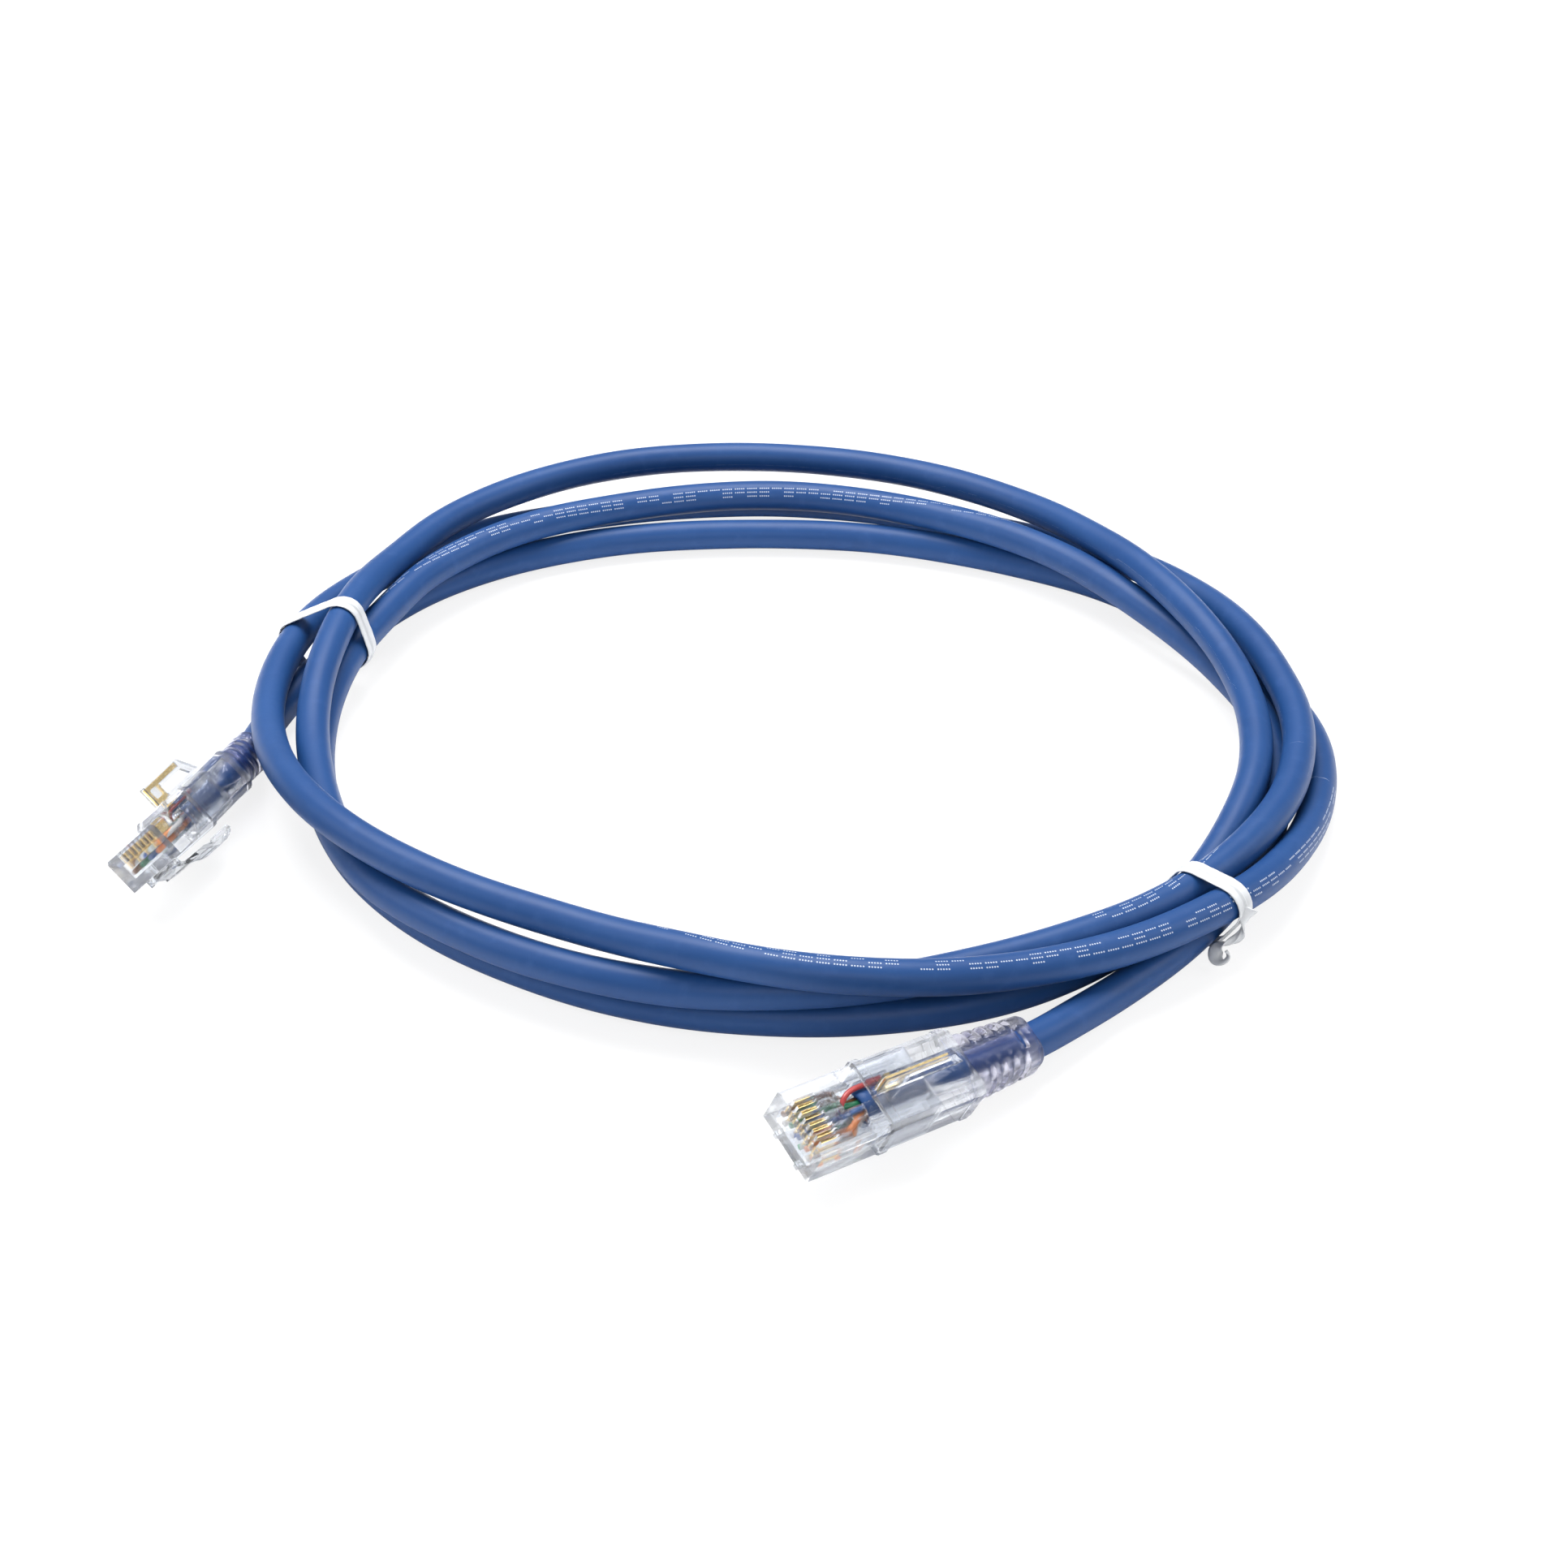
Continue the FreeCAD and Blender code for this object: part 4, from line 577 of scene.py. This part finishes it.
# --------------------------------------------------------------------- boots
BOOT_START, BOOT_END = 30.67, 44.0        # y in a plug's frame
BOOT_STEP, BOOT_SIDES = 0.13, 80
BOOT_BORE = 3.08                          # radius
END_ROUND = 0.25                          # radius of the rounded ends
CORNER_POWER = 16.0                       # higher is a sharper octagon
GROOVE_FIRST, GROOVE_PITCH, GROOVES = 33.1, 2.3, 4
GROOVE_FLOOR = 3.52                       # half width left between the side grooves
WINDOW_START, WINDOW_END = 40.9, 42.0     # window through the top of the boot
WINDOW_HALF_ANGLE = 0.50


def smoothstep(value, low, high):
    t = np.clip((value - low) / (high - low), 0, 1)
    return t * t * (3 - 2 * t)


def groove_depth(y):
    """0 on the ribs, 1 in the square, soft-lipped grooves cut from both sides."""
    depth = 0.0
    for k in range(GROOVES):
        start = GROOVE_FIRST + GROOVE_PITCH * k
        depth = max(depth, float(smoothstep(y, start - 0.12, start + 0.12)
                                 * (1 - smoothstep(y, start + 0.88, start + 1.12))))
    return depth


def boot_radius(y, c, s):
    """Radius of the soft octagon at y, for the directions with cosine c and sine s."""
    t = (y - BOOT_START) / (BOOT_END - BOOT_START)
    half_width = 5.18 + (4.2 - 5.18) * t
    half_height = 3.48 + (3.73 - 3.48) * t
    chamfer = 1.5 + 0.1 * t
    half_width -= groove_depth(y) * (half_width - GROOVE_FLOOR)
    diagonal = (half_width + half_height - chamfer) / math.sqrt(2)
    flats = [c / half_width, s / half_height,
             (c + s) / math.sqrt(2) / diagonal, (c - s) / math.sqrt(2) / diagonal]
    radius = sum(np.abs(f) ** CORNER_POWER for f in flats) ** (-1 / CORNER_POWER)
    from_end = min(y - BOOT_START, BOOT_END - y)
    if from_end < END_ROUND:
        fall = END_ROUND ** 2 - (END_ROUND - from_end) ** 2
        radius = radius - (END_ROUND - math.sqrt(max(0.0, fall)))
    return radius


def build_boot(end):
    size = BOOT_SIDES
    ys = np.unique(np.round(np.concatenate([
        np.arange(BOOT_START, BOOT_END, BOOT_STEP), [BOOT_END],
        BOOT_START + np.array([0.05, 0.12]), BOOT_END - np.array([0.05, 0.12, 0.25])]), 3))
    angles = (np.arange(size) + 0.5) / size * 2 * np.pi
    c, s = np.cos(angles), np.sin(angles)

    def ring(y, radius):
        return np.stack([radius * c, np.full(size, y), CABLE_HEIGHT + radius * s], 1)

    outer = [ring(y, boot_radius(y, c, s)) for y in ys]
    inner = [ring(y, BOOT_BORE) for y in ys]
    offset = len(ys) * size
    y_mid = (ys[:-1] + ys[1:]) / 2
    angle_mid = (np.arange(size) + 1) / size * 2 * np.pi
    hole = np.outer((y_mid >= WINDOW_START) & (y_mid <= WINDOW_END),
                    np.abs(angle_mid - np.pi / 2) < WINDOW_HALF_ANGLE)
    faces = []
    for index, quad in enumerate(sweep_faces(len(ys), size)):
        k, i = divmod(index, size)
        if not hole[k, i]:
            faces += [quad, inside_out(quad, offset)]
            continue
        # walls of the window, where the neighbouring cell is solid
        neighbours = (((k - 1, i), quad[0], quad[1]), ((k + 1, i), quad[3], quad[2]),
                      ((k, (i - 1) % size), quad[0], quad[3]),
                      ((k, (i + 1) % size), quad[1], quad[2]))
        for cell, u, v in neighbours:
            if not hole[cell]:
                faces.append((u, v, offset + v, offset + u))
    faces += end_faces(len(ys), size)
    points = PLUGS[end].place(np.concatenate(outer + inner))
    ob = new_mesh("boot_skin_" + end, points, faces, MILKY_BOOT)
    ob.data.set_sharp_from_angle(angle=math.radians(42))
    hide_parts("boot_" + end)


for end in PLUGS:
    build_boot(end)

# ---------------------------------------------------------------- twist ties
# Each loop stands upright round the hank: its centre before SHIFT, the direction across
# the ribbon, and radii at even angles from the level side direction toward the top.
TIES = {
    "left": dict(
        at=(-83.25, 34.873, 8.691), normal=(-0.24919, -0.96846, 0.0), radii=[
            8.578, 8.359, 8.283, 8.349, 8.564, 8.948, 9.439, 9.626, 9.475, 9.045, 8.332, 7.463,
            6.858, 6.446, 6.181, 6.035, 5.997, 6.062, 6.236, 6.536, 6.992, 7.628, 8.137, 8.423,
            8.481, 8.29, 7.927, 7.693, 7.598, 7.635, 7.807, 8.129, 8.629, 9.043, 9.142, 8.989,
            8.667, 8.072, 7.588, 7.276, 7.105, 7.06, 7.138, 7.344, 7.697, 8.203, 8.536, 8.689]),
    "right": dict(
        at=(66.145, -43.969, 5.77), normal=(0.65987, 0.75138, 0.0), radii=[
            7.144, 6.663, 6.344, 6.155, 6.078, 6.105, 6.241, 6.445, 6.545, 6.524, 6.394, 6.235,
            6.145, 6.161, 6.286, 6.529, 6.916, 7.487, 8.126, 8.495, 8.671, 8.651, 8.376, 7.813,
            7.116, 6.627, 6.301, 6.106, 6.023, 6.043, 6.17, 6.344, 6.41, 6.361, 6.198, 6.032,
            5.975, 6.021, 6.173, 6.447, 6.87, 7.489, 8.2, 8.651, 8.886, 8.837, 8.501, 7.845]),
}
RIBBON_WIDTH = 3.5
RIBBON_RINGS = 192
# stations across the ribbon, in half widths
RIBBON_STATIONS = np.array([-1.0, -0.97, -0.8, -0.5, -0.34, -0.26, -0.2, -0.14, -0.07, 0.0,
                            0.07, 0.14, 0.2, 0.26, 0.34, 0.5, 0.8, 0.97, 1.0])

# centre line of the right tie's twisted tail: x, y, z before SHIFT
TAIL_PATH = [(72.68, -49.76, 9.28), (72.19, -50.12, 7.12), (71.85, -50.4, 5.0),
             (70.41, -50.67, 3.4), (68.18, -50.81, 2.4), (67.97, -52.19, 1.2)]
TAIL_CURL = [(0.9, -0.75, 0.0), (1.7, -0.35, 0.7), (1.3, 0.15, 1.35)]   # from its last point
TAIL_RINGS = 110
# fraction of the tail's length, width
TAIL_WIDTHS = [(0, 3.0), (0.12, 1.9), (0.3, 1.45), (0.5, 1.6), (0.62, 2.5), (0.75, 2.3),
               (0.86, 1.5), (1.0, 1.2)]
# fraction of the tail's length, twist in radians
TAIL_TWIST = [(0, 0.4), (0.1, 0.9), (0.55, 5.2), (0.7, 6.3), (1.0, 7.6)]
# section: place across in half widths, height in mm
TAIL_SECTION = [
    (-1, 0.10), (-0.6, 0.16), (-0.2, 0.17), (-0.1, 0.30), (0.1, 0.30), (0.2, 0.17), (0.6, 0.16),
    (1, 0.10), (1, -0.10), (0.6, -0.16), (0.2, -0.17), (-0.2, -0.17), (-0.6, -0.16), (-1, -0.10),
]
FLOOR_GAP = 0.03                          # least height of the tail above the floor


def build_ribbon(which, at, normal, radii):
    centre = np.array(at) + SHIFT
    normal = np.array(normal)
    side = np.array([-normal[1], normal[0], 0.0])
    angles = np.linspace(0, 2 * np.pi, RIBBON_RINGS, endpoint=False)
    radius = np.interp(angles, np.linspace(0, 2 * np.pi, len(radii) + 1), radii + radii[:1])
    # flat wings, a round rib over the core wire and a dip on each side of it
    u = RIBBON_STATIONS
    height = (0.17 + 0.26 * np.exp(-(u / 0.12) ** 4)
              - 0.07 * np.exp(-((np.abs(u) - 0.24) / 0.06) ** 2))
    height[0] = height[-1] = 0.08
    points = []
    for a, loop_radius in zip(angles, radius):
        base = loop_radius + 0.05
        outward = side * math.cos(a) + UP * math.sin(a)
        wobble = 0.05 * math.sin(9 * a) + 0.03 * math.sin(23 * a + 1.0)
        flare = 1 + 0.02 * math.sin(7 * a)
        for u, h in zip(RIBBON_STATIONS, height):
            crease = 0.05 * math.sin(17 * a + 3 * u)
            lift = max(0, wobble * 0.5 + crease * abs(u)) * 0.8
            points.append(centre + outward * (base + h + 0.02 + lift)
                          + normal * (u * RIBBON_WIDTH / 2 * flare))
        for u in RIBBON_STATIONS[::-1]:
            points.append(centre + outward * base + normal * (u * RIBBON_WIDTH / 2))
    faces = sweep_faces(RIBBON_RINGS, 2 * len(RIBBON_STATIONS), closed=True)
    ob = new_mesh("tie_ribbon_" + which, points, faces, TIE_WHITE)
    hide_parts("twist_tie_" + which)


def build_tail():
    stations = [np.array(p) + SHIFT for p in TAIL_PATH]
    stations += [stations[-1] + np.array(p) for p in TAIL_CURL]
    path, run = natural_spline(stations, TAIL_RINGS)
    _, side, other = sweep_frames(path, np.array([0.3, 0.2, 1.0]))
    fraction = run / run[-1]
    width = np.interp(fraction, *zip(*TAIL_WIDTHS))
    twist = np.interp(fraction, *zip(*TAIL_TWIST))
    size = len(TAIL_SECTION)
    points = []
    for k, f in enumerate(fraction):
        c, s = math.cos(twist[k]), math.sin(twist[k])
        outward = side[k] * c + other[k] * s
        across = other[k] * c - side[k] * s
        cup = 0.30 * math.sin(9.0 * f + 0.6)
        for u, h in TAIL_SECTION:
            bend = cup * (u * u - 0.4) + 0.05 * math.sin(40 * f + 2.5 * u)
            points.append(path[k] + across * (u * width[k] / 2) + outward * (h + bend))
    points = np.array(points)
    points[:, 2] = np.maximum(points[:, 2], FLOOR_GAP)
    faces = sweep_faces(TAIL_RINGS, size)
    faces.append(tuple(range(size))[::-1])
    faces.append(tuple((TAIL_RINGS - 1) * size + i for i in range(size)))
    new_mesh("tie_tail_right", points, faces, TIE_WHITE)


for which, tie in TIES.items():
    build_ribbon(which, **tie)
build_tail()


# ------------------------------------------------------------ stage and light
def floor_material():
    """Pale floor that glows to the camera and through the clear pieces."""
    material, shader = new_material("pale_floor")
    patches = shader.noise(scale=6.0)
    matt = shader.principled({
        "Base Color": shader.mix_color(patches, (0.88, 0.88, 0.885), (0.90, 0.90, 0.905)),
        "Roughness": 0.75,
        "Specular IOR Level": 0.2,
    })
    glow = shader.node("Emission", {"Color": (1, 1, 1), "Strength": 1.02}).outputs[0]
    rays = shader.node("LightPath").outputs
    seen = shader.math("MAXIMUM", rays["Is Camera Ray"], rays["Is Transmission Ray"])
    shader.surface(shader.mix_shader(shader.math("MULTIPLY", seen, 0.80), matt, glow))
    return material


def build_floor(half=3):
    mesh = bpy.data.meshes.new("floor")
    corners = [(-half, -half, 0), (half, -half, 0), (half, half, 0), (-half, half, 0)]
    mesh.from_pydata(corners, [], [(0, 1, 2, 3)])
    floor = bpy.data.objects.new("floor", mesh)
    bpy.context.scene.collection.objects.link(floor)
    mesh.materials.append(floor_material())
    floor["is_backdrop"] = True


def build_world():
    world = bpy.data.worlds.new("studio")
    bpy.context.scene.world = world
    world.use_nodes = True
    shader = Shader(world.node_tree)
    background = world.node_tree.nodes["Background"]
    fill = 0.38                           # strength of the light that falls on the scene
    shader.feed(background.inputs["Color"], (1.0, 1.0, 1.0))
    shader.feed(background.inputs["Strength"], fill)
    # rays that leave through the clear pieces see a darker band near the horizon,
    # which draws the moulding's edges
    place = shader.node("TexCoord").outputs["Generated"]
    height = shader.node("SeparateXYZ", {0: place}).outputs[2]
    band = shader.remap(height, low=0.06, high=1.05, from_low=0.10, from_high=0.55)
    rays = shader.node("LightPath").outputs
    strength = shader.mix_float(rays["Is Transmission Ray"], fill, band)
    strength = shader.mix_float(rays["Is Camera Ray"], strength, 1.0)
    shader.feed(background.inputs["Strength"], strength)


def area_light(name, place, size, energy, target=(0, 0, 0)):
    light = bpy.data.lights.new(name, "AREA")
    light.shape = "RECTANGLE"
    light.size, light.size_y = size
    light.energy = energy
    ob = bpy.data.objects.new(name, light)
    bpy.context.scene.collection.objects.link(ob)
    ob.location = place
    ob.rotation_euler = (Vector(target) - Vector(place)).to_track_quat("-Z", "Y").to_euler()


def build_camera():
    camera = bpy.data.cameras.new("camera")
    camera.sensor_width = 36.0
    camera.lens = 63.3540373
    camera.clip_start = 0.01
    ob = bpy.data.objects.new("camera", camera)
    bpy.context.scene.collection.objects.link(ob)
    ob.location = CAMERA_PLACE * MM
    ob.rotation_euler = (math.pi / 2 - CAMERA_ELEVATION, 0, 0)
    bpy.context.scene.camera = ob


build_floor()
build_world()
area_light("key", place=(-0.10, 0.30, 0.80), size=(0.75, 0.45), energy=15.5, target=(0, 0.02, 0))
area_light("right", place=(0.75, 0.05, 0.50), size=(0.45, 0.45), energy=3.0)
area_light("front", place=(0.10, -0.75, 0.55), size=(0.7, 0.4), energy=3.2)
area_light("left", place=(-0.75, -0.10, 0.45), size=(0.45, 0.45), energy=3.0)
build_camera()
bpy.context.scene.view_settings.view_transform = "Standard"

{"cad": CAD_BOX, "visual": plain_box(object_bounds())}
